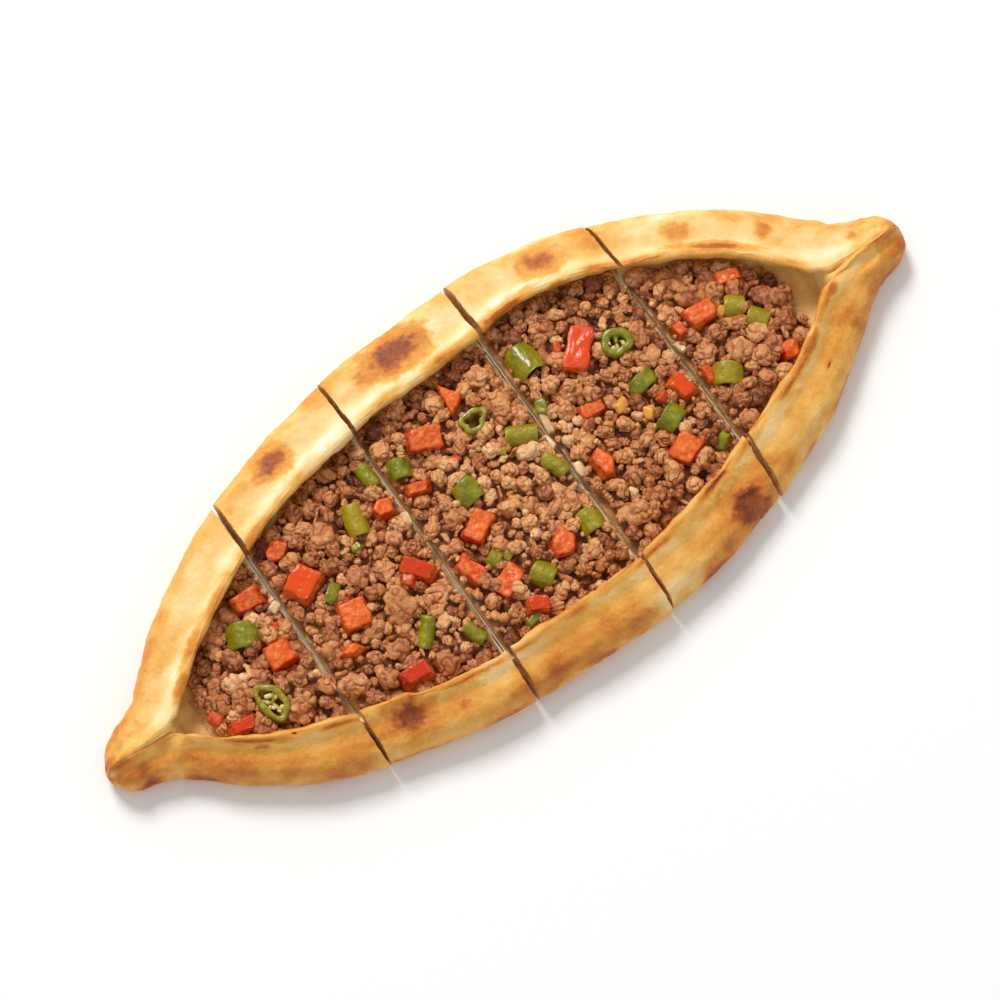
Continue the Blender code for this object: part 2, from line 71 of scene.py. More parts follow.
# The rim's cross-section in millimetres in from the outline and up from the board. The outside runs from the
# crest over the flap and down the wall to the foot, the inside from the crest round the lip to the base.
RIM_OUTSIDE = (
    (21.2, 21.0),
    (18.6, 20.0),
    (14.2, 17.2),
    (9.2, 16.5),
    (4.6, 14.8),
    (1.3, 10.8),
    (0.0, 6.4),
    (1.0, 2.2),
    (3.2, 0.0),
    (8.0, 0.0),
)
RIM_INSIDE = (
    (21.2, 21.0),
    (22.6, 20.2),
    (23.0, 18.6),
    (22.2, 16.8),
    (20.3, 14.6),
    (19.2, 10.8),
    (20.2, 7.2),
    (23.0, 4.9),
    (27.0, 4.5),
)
DRAWN_WIDTH = 23.0
DRAWN_HEIGHT = 21.0

# Points across the dough: over each rim's outside and inside, and along the flat base between the rims
RIM_POINTS = 90
BASE_POINTS = 60
DOUGH_STEP = 0.8 * MM
DOME_STATIONS = 18
CUT_ROWS = (0.03, 0.12, 0.27, 0.43, 0.58, 0.73, 0.88, 0.97)

# Mince
MINCE_ENDS = (-141 * MM, 132 * MM)
MINCE_HEIGHT = 12.6 * MM
MINCE_EDGE_DROP = 3.4 * MM
STRAND_GRID = (22, 12)

# Mince that is thrown on: radius from and to in millimetres, how many on a middle slice, the share by which
# two may overlap, tries for each, and how much larger it is on the first and last slice
THROWN_MINCE = {
    "clump": (3.4, 5.4, 14, 0.15, 80, 1.0),
    "lump": (2.3, 4.6, 95, 0.36, 90, 1.25),
    "strand": (2.4, 5.4, 125, 0.40, 90, 1.25),
    "crumb": (1.1, 2.3, 210, 0.30, 90, 1.0),
}

# How it lies: the share of its height that it keeps, its rise as a share of its radius, mean tint and spread
LAID_MINCE = {
    "clump": (0.75, 0.10, 0.0, 0.2),
    "lump": (0.80, 0.30, 0.1, 0.75),
    "strand": (0.90, 0.35, 0.2, 0.7),
    "crumb": (0.85, 0.50, 0.2, 0.8),
}

# Oven spots on the dough: place along and across, half length along the boat, half width and strength
OVEN_SPOTS = (
    (-67.0, 57.0, 6.5, 5.5, 0.82),
    (-7.0, 66.5, 12.0, 7.5, 0.93),
    (59.0, 64.5, 8.0, 5.5, 0.76),
    (108.0, 45.0, 10.0, 6.0, 0.50),
    (129.0, 38.0, 7.0, 4.5, 0.40),
    (135.0, 27.0, 5.0, 4.5, 0.60),
    (162.0, 7.0, 3.0, 2.5, 0.52),
    (176.0, 2.5, 4.5, 4.0, 0.60),
    (168.0, -4.5, 5.0, 4.0, 0.48),
    (-90.0, 50.0, 4.0, 3.0, 0.42),
    (-112.0, 25.0, 12.0, 2.2, 0.54),
    (-129.0, 15.5, 10.0, 2.4, 0.58),
    (-141.0, 5.0, 7.0, 2.2, 0.56),
    (-133.0, 31.0, 10.0, 4.0, 0.40),
    (-143.0, 17.0, 8.0, 4.0, 0.40),
    (36.0, 55.0, 12.0, 1.6, 0.72),
    (58.0, 51.5, 7.0, 1.6, 0.58),
    (92.0, 41.0, 6.0, 1.6, 0.50),
    (114.5, 32.0, 14.0, 1.9, 0.76),
    (69.0, -58.0, 10.0, 9.5, 0.93),
    (142.0, -21.5, 4.5, 3.8, 0.62),
    (141.0, -7.5, 4.0, 1.8, 0.62),
    (122.0, -20.5, 9.0, 2.4, 0.69),
    (62.0, -44.0, 8.0, 1.7, 0.90),
    (88.0, -33.0, 7.0, 1.3, 0.62),
    (124.0, -30.0, 1.8, 0.6, 0.95),
    (-116.7, -32.8, 0.8, 0.5, 1.00),
    (-128.5, -30.0, 4.0, 0.9, 0.62),
    (20.0, -51.0, 9.0, 1.3, 0.62),
    (49.0, -65.0, 6.0, 4.0, 0.50),
    (10.0, -69.0, 9.0, 4.5, 0.60),
    (-8.0, -67.5, 6.0, 3.5, 0.56),
    (-38.5, -66.0, 7.0, 3.5, 0.60),
    (-60.0, -58.0, 3.5, 3.0, 0.66),
    (-78.0, -51.0, 8.5, 7.5, 0.96),
    (-106.0, -51.5, 7.0, 4.0, 0.50),
    (-122.0, -44.0, 8.0, 3.5, 0.52),
    (-122.0, -31.5, 7.0, 1.8, 0.52),
    (-135.0, -24.5, 6.0, 1.8, 0.50),
    (-140.0, -33.0, 6.0, 3.5, 0.50),
    (-149.0, -22.0, 5.0, 4.0, 0.58),
    (-149.0, -12.5, 5.0, 1.8, 0.50),
    (-174.0, -9.0, 6.0, 5.0, 0.60),
    (-176.5, -2.0, 4.0, 3.5, 0.72),
)

# Dimples where the dough was pinched shut at the tips: place along and across, half width and depth
TIP_DIMPLES = ((168.3, 5.4, 2.6, 1.2), (-175.5, -2.4, 2.4, 1.2))

# Tomato: turn in degrees, number of sides, share kept by the top, the side that shows skin, and a tone
# from 0, deep red, to 1, orange.
NO_SKIN, TOP = -1, 9
TOMATO_CUTS = {
    "tomato_01": (-6, 4, 0.80, 3, 0.10),
    "tomato_02": (-4, 4, 0.92, 3, 0.55),
    "tomato_03": (-9, 4, 0.75, TOP, 0.35),
    "tomato_04": (12, 5, 0.85, 2, 0.20),
    "tomato_05": (24, 4, 0.90, TOP, 0.75),
    "tomato_06": (-10, 4, 0.92, 1, 0.50),
    "tomato_07": (-14, 5, 0.75, NO_SKIN, 0.85),
    "tomato_08": (-3, 4, 0.85, TOP, 0.15),
    "tomato_09": (-52, 4, 0.80, TOP, 0.35),
    "tomato_10": (30, 5, 0.90, 3, 0.55),
    "tomato_11": (-25, 4, 0.88, 0, 0.25),
    "tomato_12": (80, 3, 0.90, NO_SKIN, 0.60),
    "tomato_13": (-20, 4, 0.80, 1, 0.40),
    "tomato_14": (28, 4, 0.90, 2, 0.50),
    "tomato_15": (-72, 4, 0.90, NO_SKIN, 0.30),
    "tomato_16": (26, 4, 0.90, NO_SKIN, 0.28),
    "tomato_17": (10, 5, 0.92, 4, 0.30),
    "tomato_18": (-28, 4, 0.85, TOP, 0.30),
    "tomato_19": (50, 4, 0.88, TOP, 0.60),
    "tomato_20": (-6, 4, 0.80, 1, 0.25),
    "tomato_21": (86, 5, 0.86, NO_SKIN, 0.45),
    "tomato_22": (26, 4, 0.94, 3, 0.55),
    "tomato_23": (-72, 4, 0.80, TOP, 0.70),
    "tomato_24": (0, 4, 0.92, 1, 0.45),
    "tomato_25": (-14, 4, 0.90, 3, 0.40),
    "tomato_26": (12, 5, 0.85, 2, 0.35),
    "tomato_27": (4, 4, 0.80, 0, 0.15),
}

# Pepper strips: turn of the arch, roll, and a tone from 0, fresh green, to 1, olive.
PEPPER_STRIPS = {
    "pepper_01": (-20, 0, 0.15),
    "pepper_02": (4, 0, 0.20),
    "pepper_03": (-14, 8, 0.95),
    "pepper_04": (-42, 0, 0.10),
    "pepper_05": (18, 0, 0.25),
    "pepper_06": (-14, 0, 0.00),
    "pepper_07": (6, 0, 0.10),
    "pepper_08": (62, 0, 0.55),
    "pepper_09": (20, 0, 0.35),
    "pepper_10": (-4, 0, 0.60),
    "pepper_11": (32, 0, 0.45),
    "pepper_12": (24, 0, 0.40),
    "pepper_13": (4, 0, 0.20),
    "pepper_14": (12, 0, 0.00),
    "pepper_15": (24, 0, 0.00),
    "pepper_16": (54, 0, 0.85),
    "pepper_17": (38, 0, 0.80),
    "pepper_18": (-34, 0, 0.75),
}
PEPPER_WALL = 1.9 * MM

# Pepper rings: turn, how much the wall waves, membranes inside, tone, and the wall in millimetres.
PEPPER_RINGS = {
    "pepper_19": (98, 0.10, 3, 0.35, 2.7),
    "pepper_20": (12, 0.16, 0, 0.40, 2.3),
    "pepper_21": (-8, 0.06, 2, 0.10, 3.1),
}

# Big clumps of mince that are placed one by one: along, across, length and depth of colour (0 to 1)
BIG_CLUMPS = (
    (-108.0, -25.0, 13.0, 0.5),
    (-132.0, -5.5, 9.0, 0.8),
    (-125.0, -10.5, 10.5, 0.6),
    (-116.0, -8.0, 11.0, 0.7),
    (-58.0, -14.5, 15.0, 0.4),
    (-56.0, -41.0, 12.0, 0.5),
    (-66.0, 24.0, 12.0, 0.6),
    (-88.0, -29.5, 12.0, 0.4),
    (-96.0, -22.5, 10.0, 0.5),
    (-64.0, 3.5, 11.0, 0.4),
    (-32.0, 3.0, 10.0, 0.3),
    (12.0, -37.5, 9.0, 0.5),
    (33.0, -35.0, 13.0, 0.4),
    (43.0, -34.0, 9.0, 0.9),
    (40.0, 17.0, 11.0, 0.3),
    (71.0, 11.0, 12.0, 0.4),
    (74.0, 21.0, 11.0, 0.5),
    (123.0, -4.0, 13.0, 1.0),
    (101.0, -6.0, 13.0, 0.4),
    (90.5, 1.5, 12.0, 0.3),
    (104.0, -19.0, 11.0, 0.5),
    (120.0, 8.0, 12.0, 0.7),
    (98.0, 22.5, 12.0, 0.7),
)

# Bits cut small: along, across, length, width and height in millimetres, and turn
TOMATO_BITS = (
    (-101.0, 5.2, 5.0, 3.0, 2.6, 10),
    (-49.8, -7.5, 6.0, 5.0, 3.0, 40),
    (66.7, -4.8, 4.5, 3.0, 2.4, 20),
    (86.0, -6.5, 8.0, 4.0, 3.0, 85),
    (-135.0, -9.0, 8.0, 6.0, 3.2, 30),
    (45.0, 33.0, 4.5, 3.0, 2.4, 60),
    (-10.0, 20.0, 4.0, 3.0, 2.4, 0),
)
PEPPER_BITS = (
    (-75.5, 4.0, 8.0, 4.6, 2.4, 35),
    (-59.0, 13.0, 4.0, 3.0, 2.0, 0),
    (-15.0, -21.5, 4.0, 3.0, 2.0, 20),
    (-20.0, -46.0, 8.0, 3.2, 2.2, 12),
    (27.4, 17.7, 6.0, 4.6, 2.2, 70),
    (75.4, -30.8, 7.0, 4.2, 2.4, 30),
    (6.0, 12.0, 3.5, 2.6, 1.8, 50),
)
ORANGE_BITS = (
    (52.2, 1.2, 6.5, 4.2, 2.6, 15),
    (58.7, -6.8, 5.0, 3.8, 2.4, 60),
    (104.0, 11.0, 4.0, 3.0, 2.0, 30),
)
ONION_BITS = (
    (-95.8, 12.0, 4.5, 3.6, 2.0, 20),
    (25.6, 12.0, 9.0, 3.0, 1.6, 80),
    (22.4, 6.0, 6.0, 2.6, 1.5, 95),
    (25.9, -10.0, 6.5, 3.6, 1.8, 85),
    (-37.5, 12.0, 6.0, 2.8, 1.6, 80),
    (83.6, 8.5, 6.0, 2.8, 1.6, 95),
)

random = np.random.default_rng(11)


# ------------------------------------------------------------------------------------------
# Numbers


def smooth_step(value, start, end):
    """0 before start, 1 after end, and an S-curve between."""
    share = np.clip((value - start) / (end - start), 0.0, 1.0)
    return share * share * (3.0 - 2.0 * share)


def bell(value, middle, spread):
    """1 at the middle, and falling away on both sides as a bell does."""
    return np.exp(-(((value - middle) / spread) ** 2))


def noise(points, size, seed=0):
    """Smooth noise from -1 to 1: each cube of this size has a random value at its corners, blended
    between."""
    scaled = points / size + 31.7 + 9.13 * seed
    cell = np.floor(scaled)
    share = scaled - cell
    share = share**3 * (share * (share * 6.0 - 15.0) + 10.0)
    cell = cell.astype(np.int64)
    total = np.zeros(points.shape[:-1])
    for corner in range(8):
        step = np.array([corner & 1, (corner >> 1) & 1, (corner >> 2) & 1])
        at = cell + step
        mixed = (at[..., 0] * 73856093) ^ (at[..., 1] * 19349663) ^ (at[..., 2] * 83492791)
        mixed &= 0xFFFFFFFF
        mixed = ((mixed ^ (mixed >> 13)) * 1274126177) & 0xFFFFFFFF
        mixed = ((mixed ^ (mixed >> 16)) * 1103515245) & 0xFFFFFFFF
        value = (mixed >> 8) / 0x7FFFFF - 1.0
        total += value * np.prod(np.where(step == 1, share, 1.0 - share), axis=-1)
    return total


def layered(points, size, seed=0, layers=3, gain=0.5):
    """Noise plus finer noise: each layer is half the size and gain times the strength of the last."""
    total = np.zeros(points.shape[:-1])
    for layer in range(layers):
        total += gain**layer * noise(points, size / 2**layer, seed + 5 * layer)
    return total / (1.0 + gain)


def curve_through(points, count):
    """Points evenly spaced along the smooth curve through some points: a Catmull-Rom curve, measured
    and re-cut."""
    points = np.array(points, float)
    padded = np.vstack([2 * points[0] - points[1], points, 2 * points[-1] - points[-2]])
    share = np.linspace(0.0, 1.0, 40, endpoint=False)[None, :, None]
    p0, p1, p2, p3 = (padded[i : len(padded) - 3 + i, None, :] for i in range(4))
    dense = 0.5 * (
        2 * p1
        + (p2 - p0) * share
        + (2 * p0 - 5 * p1 + 4 * p2 - p3) * share**2
        + (3 * p1 - p0 - 3 * p2 + p3) * share**3
    )
    dense = np.vstack([dense.reshape(-1, points.shape[1]), points[-1]])
    length = np.concatenate([[0.0], np.cumsum(np.linalg.norm(np.diff(dense, axis=0), axis=1))])
    at = np.linspace(0.0, length[-1], count)
    return np.column_stack([np.interp(at, length, column) for column in dense.T])


# ------------------------------------------------------------------------------------------
# The boat's outline, as the frame has it


def along_boat(values, x):
    """A plan line's value at x: a smooth Catmull-Rom curve through values given at even steps along the
    boat."""
    values = np.concatenate([[2 * values[0] - values[1]], values, [2 * values[-1] - values[-2]]])
    share = (np.asarray(x) + HALF) / (2 * HALF) * (len(values) - 3)
    at = np.clip(share.astype(int), 0, len(values) - 4)
    t = share - at
    p0, p1, p2, p3 = (values[at + i] for i in range(4))
    bend = 2 * p0 - 5 * p1 + 4 * p2 - p3
    return 0.5 * (2 * p1 + (p2 - p0) * t + bend * t**2 + (3 * p1 - p0 - 3 * p2 + p3) * t**3) * MM


def centre_line(x):
    """The line along the middle of the mouth, and along the seam at the tips."""
    return along_boat(CENTRE_LINE, x)


def tip_rounding(x):
    """1 along the boat, falling as a circle's height does over the last tip radius."""
    past = np.clip((np.abs(x) - (HALF - TIP_RADIUS)) / TIP_RADIUS, 0.0, 1.0)
    return np.sqrt(1.0 - past**2)


def half_width(x, side):
    """Distance from the centre line to the outline on one side."""
    return side * (along_boat(OUTLINE[side], x) - centre_line(x))


def wobble(x, side):
    """Hand-made unevenness of one rim, between about -1 and 1: two sine waves."""
    t = x / HALF
    phase = 0.8 if side == FAR else 2.9
    return 0.6 * np.sin(9.0 * t + phase) + 0.4 * np.sin(21.0 * t + 2.0 * phase)


def mouth(x, side):
    """Distance from the centre line to the rim's lip, going softly to 0 where the two rims have met."""
    soft = 1.2 * MM
    free = (half_width(x, side) - along_boat(RIM_WIDTH[side], x)) / soft
    return soft * np.logaddexp(0.0, free)


def crest_height(x, side):
    """Height of the rim's crest. It sinks towards the tips, where one rim laps a little over the other."""
    t = np.abs(x) / HALF
    lap = np.where(x * side < 0, 1.2 * MM, -1.2 * MM)
    lap = lap * smooth_step(t, 0.78, 0.86) * (1.0 - smooth_step(t, 0.88, 0.94))
    return RIM_HEIGHT - 4.0 * MM * smooth_step(t, 0.70, 1.0) + 0.6 * MM * wobble(x, -side) + lap


def slice_ends(index):
    """The two X positions between which slice 1 to 5 lies."""
    edges = (-HALF,) + CUTS + (HALF,)
    start = edges[index - 1] + (KNIFE_WIDTH / 2 if index > FIRST else 0.0)
    end = edges[index] - (KNIFE_WIDTH / 2 if index < LAST else 0.0)
    return start, end


def slice_at(x):
    """The number of the slice that an X position lies in."""
    return 1 + sum(x > cut for cut in CUTS)


def outline_middle():
    """Y of the middle of the whole outline, which every slice is slipped by."""
    x = np.linspace(-HALF, HALF, 181)
    return (np.max(along_boat(OUTLINE[FAR], x)) + np.min(along_boat(OUTLINE[NEAR], x))) / 2


def to_frame(points, index):
    """Takes points from the boat's own frame to the part's: turned about the slice's middle, and
    slipped."""
    middle = sum(slice_ends(index)) / 2
    turn = math.radians(SLICE_TURN[index - 1])
    x = points[..., 0] - middle
    y = points[..., 1]
    moved = np.array(points)
    moved[..., 0] = middle + x * math.cos(turn) - y * math.sin(turn)
    moved[..., 1] = x * math.sin(turn) + y * math.cos(turn) + SLICE_SLIP[index - 1] * MM - outline_middle()
    return moved


def from_frame(place, index):
    """The other way: from the part's frame to the boat's own, for one place."""
    middle = sum(slice_ends(index)) / 2
    turn = math.radians(SLICE_TURN[index - 1])
    x = place[0] - middle
    y = place[1] - SLICE_SLIP[index - 1] * MM + outline_middle()
    return middle + x * math.cos(turn) + y * math.sin(turn), y * math.cos(turn) - x * math.sin(turn)


# ------------------------------------------------------------------------------------------
# Meshes from arrays


def faces_between(number):
    """Four-cornered faces between points whose numbers are given as a grid."""
    corners = (number[:-1, :-1], number[:-1, 1:], number[1:, 1:], number[1:, :-1])
    return np.stack(corners, -1).reshape(-1, 4)


def grid_faces(rows, columns, closed=False):
    """Four-cornered faces of a grid of points held row after row. A closed grid joins its last column
    to its first."""
    number = np.arange(rows * columns).reshape(rows, columns)
    if closed:
        number = np.hstack([number, number[:, :1]])
    return faces_between(number)


def volume(points, faces):
    """Signed volume inside a closed surface: the sum of each triangle's volume with the origin."""
    total = 0.0
    for group in faces:
        for last in range(2, group.shape[1]):
            a, b, c = points[group[:, 0]], points[group[:, last - 1]], points[group[:, last]]
            total += np.sum(np.cross(a, b) * c)
    return total / 6.0


def make_mesh(name, points, faces, fields=None, sharp=None):
    """A mesh from an array of points and a list of face arrays, facing outwards, with a float field per
    name."""
    if volume(points, faces) < 0.0:
        faces = [group[:, ::-1] for group in faces]
    mesh = bpy.data.meshes.new(name)
    sizes = np.concatenate([np.full(len(group), group.shape[1]) for group in faces])
    corners = np.concatenate([group.ravel() for group in faces])
    mesh.vertices.add(len(points))
    mesh.vertices.foreach_set("co", points.astype(np.float32).ravel())
    mesh.loops.add(len(corners))
    mesh.loops.foreach_set("vertex_index", corners.astype(np.int32))
    mesh.polygons.add(len(sizes))
    mesh.polygons.foreach_set("loop_start", np.concatenate([[0], np.cumsum(sizes)[:-1]]).astype(np.int32))
    mesh.update(calc_edges=True)
    for field, values in (fields or {}).items():
        layer = mesh.attributes.new(field, "FLOAT", "POINT")
        layer.data.foreach_set("value", np.ascontiguousarray(values, np.float32).ravel())
    mesh.shade_smooth()
    if sharp is not None:
        mesh.set_sharp_from_angle(angle=math.radians(sharp))
    return mesh


def show(name, mesh, material, nodes=()):
    """Puts a mesh in the scene as a finished piece that rides on the body and stands for its CAD nodes."""
    piece = bpy.data.objects.new(name, mesh)
    bpy.context.scene.collection.objects.link(piece)
    mesh.materials.append(material)
    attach(piece, "root")
    if nodes:
        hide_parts(*nodes)
    return piece


def grid_normals(grid):
    """Unit normals of a grid of points, from the cross product of its two directions."""
    along = np.gradient(grid, axis=0)
    across = np.gradient(grid, axis=1)
    normal = np.cross(across, along)
    return normal / np.maximum(np.linalg.norm(normal, axis=-1, keepdims=True), 1e-12)


def shell(outer, inner, start_pole=None, end_pole=None, cut_rows=CUT_ROWS):
    """Closes two sheets of points that share their first and last columns. Each end is either a pole,
    where a fan runs to one point, or a cut face, whose rows lie between the outer and the inner sheet.
    Returns the points, the faces, and for each end that is cut the numbers of its rows' points."""
    rows, columns, _ = outer.shape
    inside = inner[:, 1:-1]
    points = [outer.reshape(-1, 3), inside.reshape(-1, 3)]
    outer_number = np.arange(rows * columns).reshape(rows, columns)
    inner_number = np.empty_like(outer_number)
    inner_number[:, 0] = outer_number[:, 0]
    inner_number[:, -1] = outer_number[:, -1]
    inner_number[:, 1:-1] = rows * columns + np.arange(rows * (columns - 2)).reshape(rows, columns - 2)
    count = rows * columns + rows * (columns - 2)

    faces = [faces_between(outer_number), faces_between(inner_number)[:, ::-1]]
    cuts = []
    for row, pole, flip in ((0, start_pole, True), (rows - 1, end_pole, False)):
        if pole is not None:
            ring = np.concatenate([outer_number[row], inner_number[row, -2:0:-1]])
            fan = np.stack([ring, np.roll(ring, -1), np.full(len(ring), count)], -1)
            faces.append(fan if not flip else fan[:, ::-1])
            points.append(np.asarray(pole, float)[None, :])
            count += 1
            continue
        share = np.array(cut_rows)[:, None, None]
        between = outer[row, 1:-1] * (1.0 - share) + inner[row, 1:-1] * share
        number = count + np.arange(between.shape[0] * between.shape[1]).reshape(between.shape[:2])
        count += number.size
        points.append(between.reshape(-1, 3))
        cuts.append(number)
        face_number = np.vstack([outer_number[row, 1:-1], number, inner_number[row, 1:-1]])
        cut_face = faces_between(face_number)
        faces.append(cut_face[:, ::-1] if flip else cut_face)
        for column in (0, -1):
            rim = face_number[:, column]
            crest = np.full(len(rim) - 1, outer_number[row, column])
            fan = np.stack([crest, rim[:-1], rim[1:]], -1)
            faces.append(fan if (column == 0) == (not flip) else fan[:, ::-1])
    return np.vstack(points), faces, cuts


# ------------------------------------------------------------------------------------------
# Dough

OUTSIDE_LINE = curve_through(RIM_OUTSIDE, RIM_POINTS)
INSIDE_LINE = curve_through(RIM_INSIDE, RIM_POINTS)


def rim_lines(x, side):
    """One rim's outside and inside at each station x, as (y, z) grids that both start at the crest. The
    drawn section is stretched to the rim's width and crest height, and the dip inside it closes to a crease
    at the tips."""
    x = x[:, None]
    edge = centre_line(x) + side * half_width(x, side) * tip_rounding(x)
    opening = mouth(x, side)
    stretch = (half_width(x, side) - opening) / DRAWN_WIDTH
    crest = crest_height(x, side)
    lift = crest / DRAWN_HEIGHT
    depth = smooth_step((mouth(x, FAR) + mouth(x, NEAR)) / 2, 0.4 * MM, 4.5 * MM)
    rounding = tip_rounding(x)
    foot = (1.0 - rounding) * 5.0 * MM
    in_out, up_out = OUTSIDE_LINE.T
    in_in, up_in = INSIDE_LINE.T
    crease_floor = crest - 1.9 * MM * (1.0 - smooth_step(np.abs(x), 152 * MM, 164 * MM))
    share = np.clip((crest - up_in * lift) / (crest - BASE_THICKNESS), 0.0, 1.0)
    crease_up = crest - share * (crest - crease_floor)
    crease_in = in_in[0] + (DRAWN_WIDTH - 0.12 - in_in[0]) * share**0.6
    base_up = np.where(up_in < 5.0, up_in * MM, up_in * lift)
    over_floor = np.minimum(in_in, DRAWN_WIDTH + opening / stretch * 0.8)
    inward = crease_in + (over_floor - crease_in) * depth
    upward = crease_up + (base_up - crease_up) * depth
    outside = np.stack([edge - side * in_out * stretch * rounding, foot + up_out * lift * rounding], -1)
    inside = np.stack([edge - side * inward * stretch * rounding, foot + upward * rounding], -1)
    return outside, inside


def dough_sheets(x):
    """The dough's outer sheet, from crest to crest round the bottom, and its inner sheet over the base."""
    far_out, far_in = rim_lines(x, FAR)
    near_out, near_in = rim_lines(x, NEAR)
    share = np.linspace(0.0, 1.0, BASE_POINTS + 2)[None, 1:-1, None]

    def across(far, near):
        middle = far[:, -1:] * (1.0 - share) + near[:, -1:] * share
        flat = np.concatenate([far, middle, near[:, ::-1]], axis=1)
        along = np.broadcast_to(x[:, None, None], flat.shape[:2] + (1,))
        return np.concatenate([along, flat], axis=-1)

    outer = across(far_out, near_out)
    inner = across(far_in, near_in)
    inner[:, 0] = outer[:, 0]
    inner[:, -1] = outer[:, -1]
    return outer, inner


def dough_stations(index):
    """Even steps along X, and steps of equal angle round a tip's dome."""
    start, end = slice_ends(index)
    flat_start = start + TIP_RADIUS if index == FIRST else start
    flat_end = end - TIP_RADIUS if index == LAST else end
    x = np.linspace(flat_start, flat_end, int((flat_end - flat_start) / DOUGH_STEP) + 1)
    dome = np.sin(np.linspace(0.0, math.pi / 2, DOME_STATIONS + 1)[1:-1]) * TIP_RADIUS
    if index == FIRST:
        x = np.concatenate([flat_start - dome[::-1], x])
    if index == LAST:
        x = np.concatenate([x, flat_end + dome])
    return x


def section_place(inner):
    """For each column of a sheet, how far in and how high it is drawn, and 1 on the far rim to -1 on
    the near."""
    line = INSIDE_LINE if inner else OUTSIDE_LINE
    middle = np.repeat(line[-1:], BASE_POINTS, axis=0)
    drawn = np.vstack([line, middle, line[::-1]])
    side = np.concatenate([np.ones(RIM_POINTS), np.linspace(1, -1, BASE_POINTS), -np.ones(RIM_POINTS)])
    return drawn[:, 0], drawn[:, 1], side


def rim_slope(x, side):
    """Angle in plan of the rim's inner edge at x, from its rise over a short run."""
    ends = np.array([x - 3 * MM, x + 3 * MM])
    edge = centre_line(ends) + side * mouth(ends, side)
    return math.atan2(edge[1] - edge[0], 6 * MM)


def spot_field(points):
    """Oven spots: ellipses that lie along the rim. Gives the strongest of all spots at each point,
    ragged at the edge, and how far it has blistered."""
    ragged = 0.34 * layered(points, 6 * MM, 3) + 0.16 * noise(points, 1.6 * MM, 8)
    strongest = np.zeros(points.shape[:-1])
    swell = np.zeros(points.shape[:-1])
    on_top = points[..., 2] > 3 * MM
    for x, y, along, across, strength in OVEN_SPOTS:
        slope = rim_slope(x * MM, FAR if y > 0 else NEAR)
        dx, dy = points[..., 0] / MM - x, points[..., 1] / MM - y
        run = dx * math.cos(slope) + dy * math.sin(slope)
        rise = dy * math.cos(slope) - dx * math.sin(slope)
        distance = np.hypot(run / along, rise / across)
        inside = smooth_step(1.6 - distance + ragged, 0.0, 1.3) ** 1.1 * on_top
        fringe = 0.58 * smooth_step(2.0 - distance + 1.2 * ragged, 0.0, 1.0) * on_top * (strength > 0.7)
        strongest = np.maximum(strongest, np.maximum(strength * inside, fringe * strength))
        swell = np.maximum(swell, (strength > 0.7) * strength * np.exp(-(distance**2)))
    return strongest, swell


def dough_browning(points, inward, upward, side, inner):
    """How browned the dough is from 0 to 1: pale crown, which is a painted highlight, golden flap,
    shoulder and wall, browned crest line, lip and oven spots. Inward and upward are places on the drawn
    section, in millimetres."""
    stretched = points * np.array([0.6, 1.0, 1.0])
    patches = layered(points, 24 * MM, 1)
    small = layered(points, 6 * MM, 2)
    blotch = smooth_step(layered(stretched, 11 * MM, 6), 0.05, 0.75)
    streak = smooth_step(layered(points * np.array([1.0, 0.5, 0.5]), 16 * MM, 4), -0.45, 0.5)
    near = side < 0
    value = np.where(near, 0.33, 0.21) + 0.17 * patches + 0.08 * small
    value = value + near * 0.11 * bell(inward, 9.5, 4.0)
    # Painted highlight: the crown just outside the crest is made paler.
    value = value - 0.10 * bell(inward, 17.5, 2.4) * (upward > 15)
    value = value + np.where(near, 0.16, 0.12) * blotch * (upward > 6)
    value = value + bell(inward, 3.0, 3.2) * (upward > 8) * (0.07 + 0.12 * patches + 0.08 * small)
    x = points[..., 0]
    opened = smooth_step(mouth(x, FAR) + mouth(x, NEAR), 2 * MM, 14 * MM)
    line = bell(inward, np.where(near, 19.3, 20.6), np.where(near, 1.0, 1.2)) * (upward > 15) * opened
    value = value + (0.0 if inner else 1.0) * line * np.where(near, 0.38, 0.30) * streak
    lip = smooth_step(inward, 20.8, 22.4) * smooth_step(upward, 12.0, 17.0) * opened
    value = value + lip * np.where(near, 0.0, 0.06 + 0.12 * streak)
    wall = smooth_step(13.0 - upward, 0.0, 8.0) * (0.0 if inner else 1.0)
    value = value + wall * np.where(near, 0.06 + 0.20 * blotch + 0.08 * small, 0.12)
    tips = smooth_step(np.abs(points[..., 0]), 150 * MM, 176 * MM)
    value = value + 0.12 * tips * (1.0 + small)
    spots, swell = spot_field(points)
    value = np.maximum(value, spots * (0.92 + 0.16 * small))
    if inner:
        under = (1.0 - smooth_step(upward, 4.0, 17.0)) * opened
        value = value * (1.0 - under) + (0.24 + 0.12 * small) * under
    return np.clip(value, 0.0, 1.0), swell, line * streak


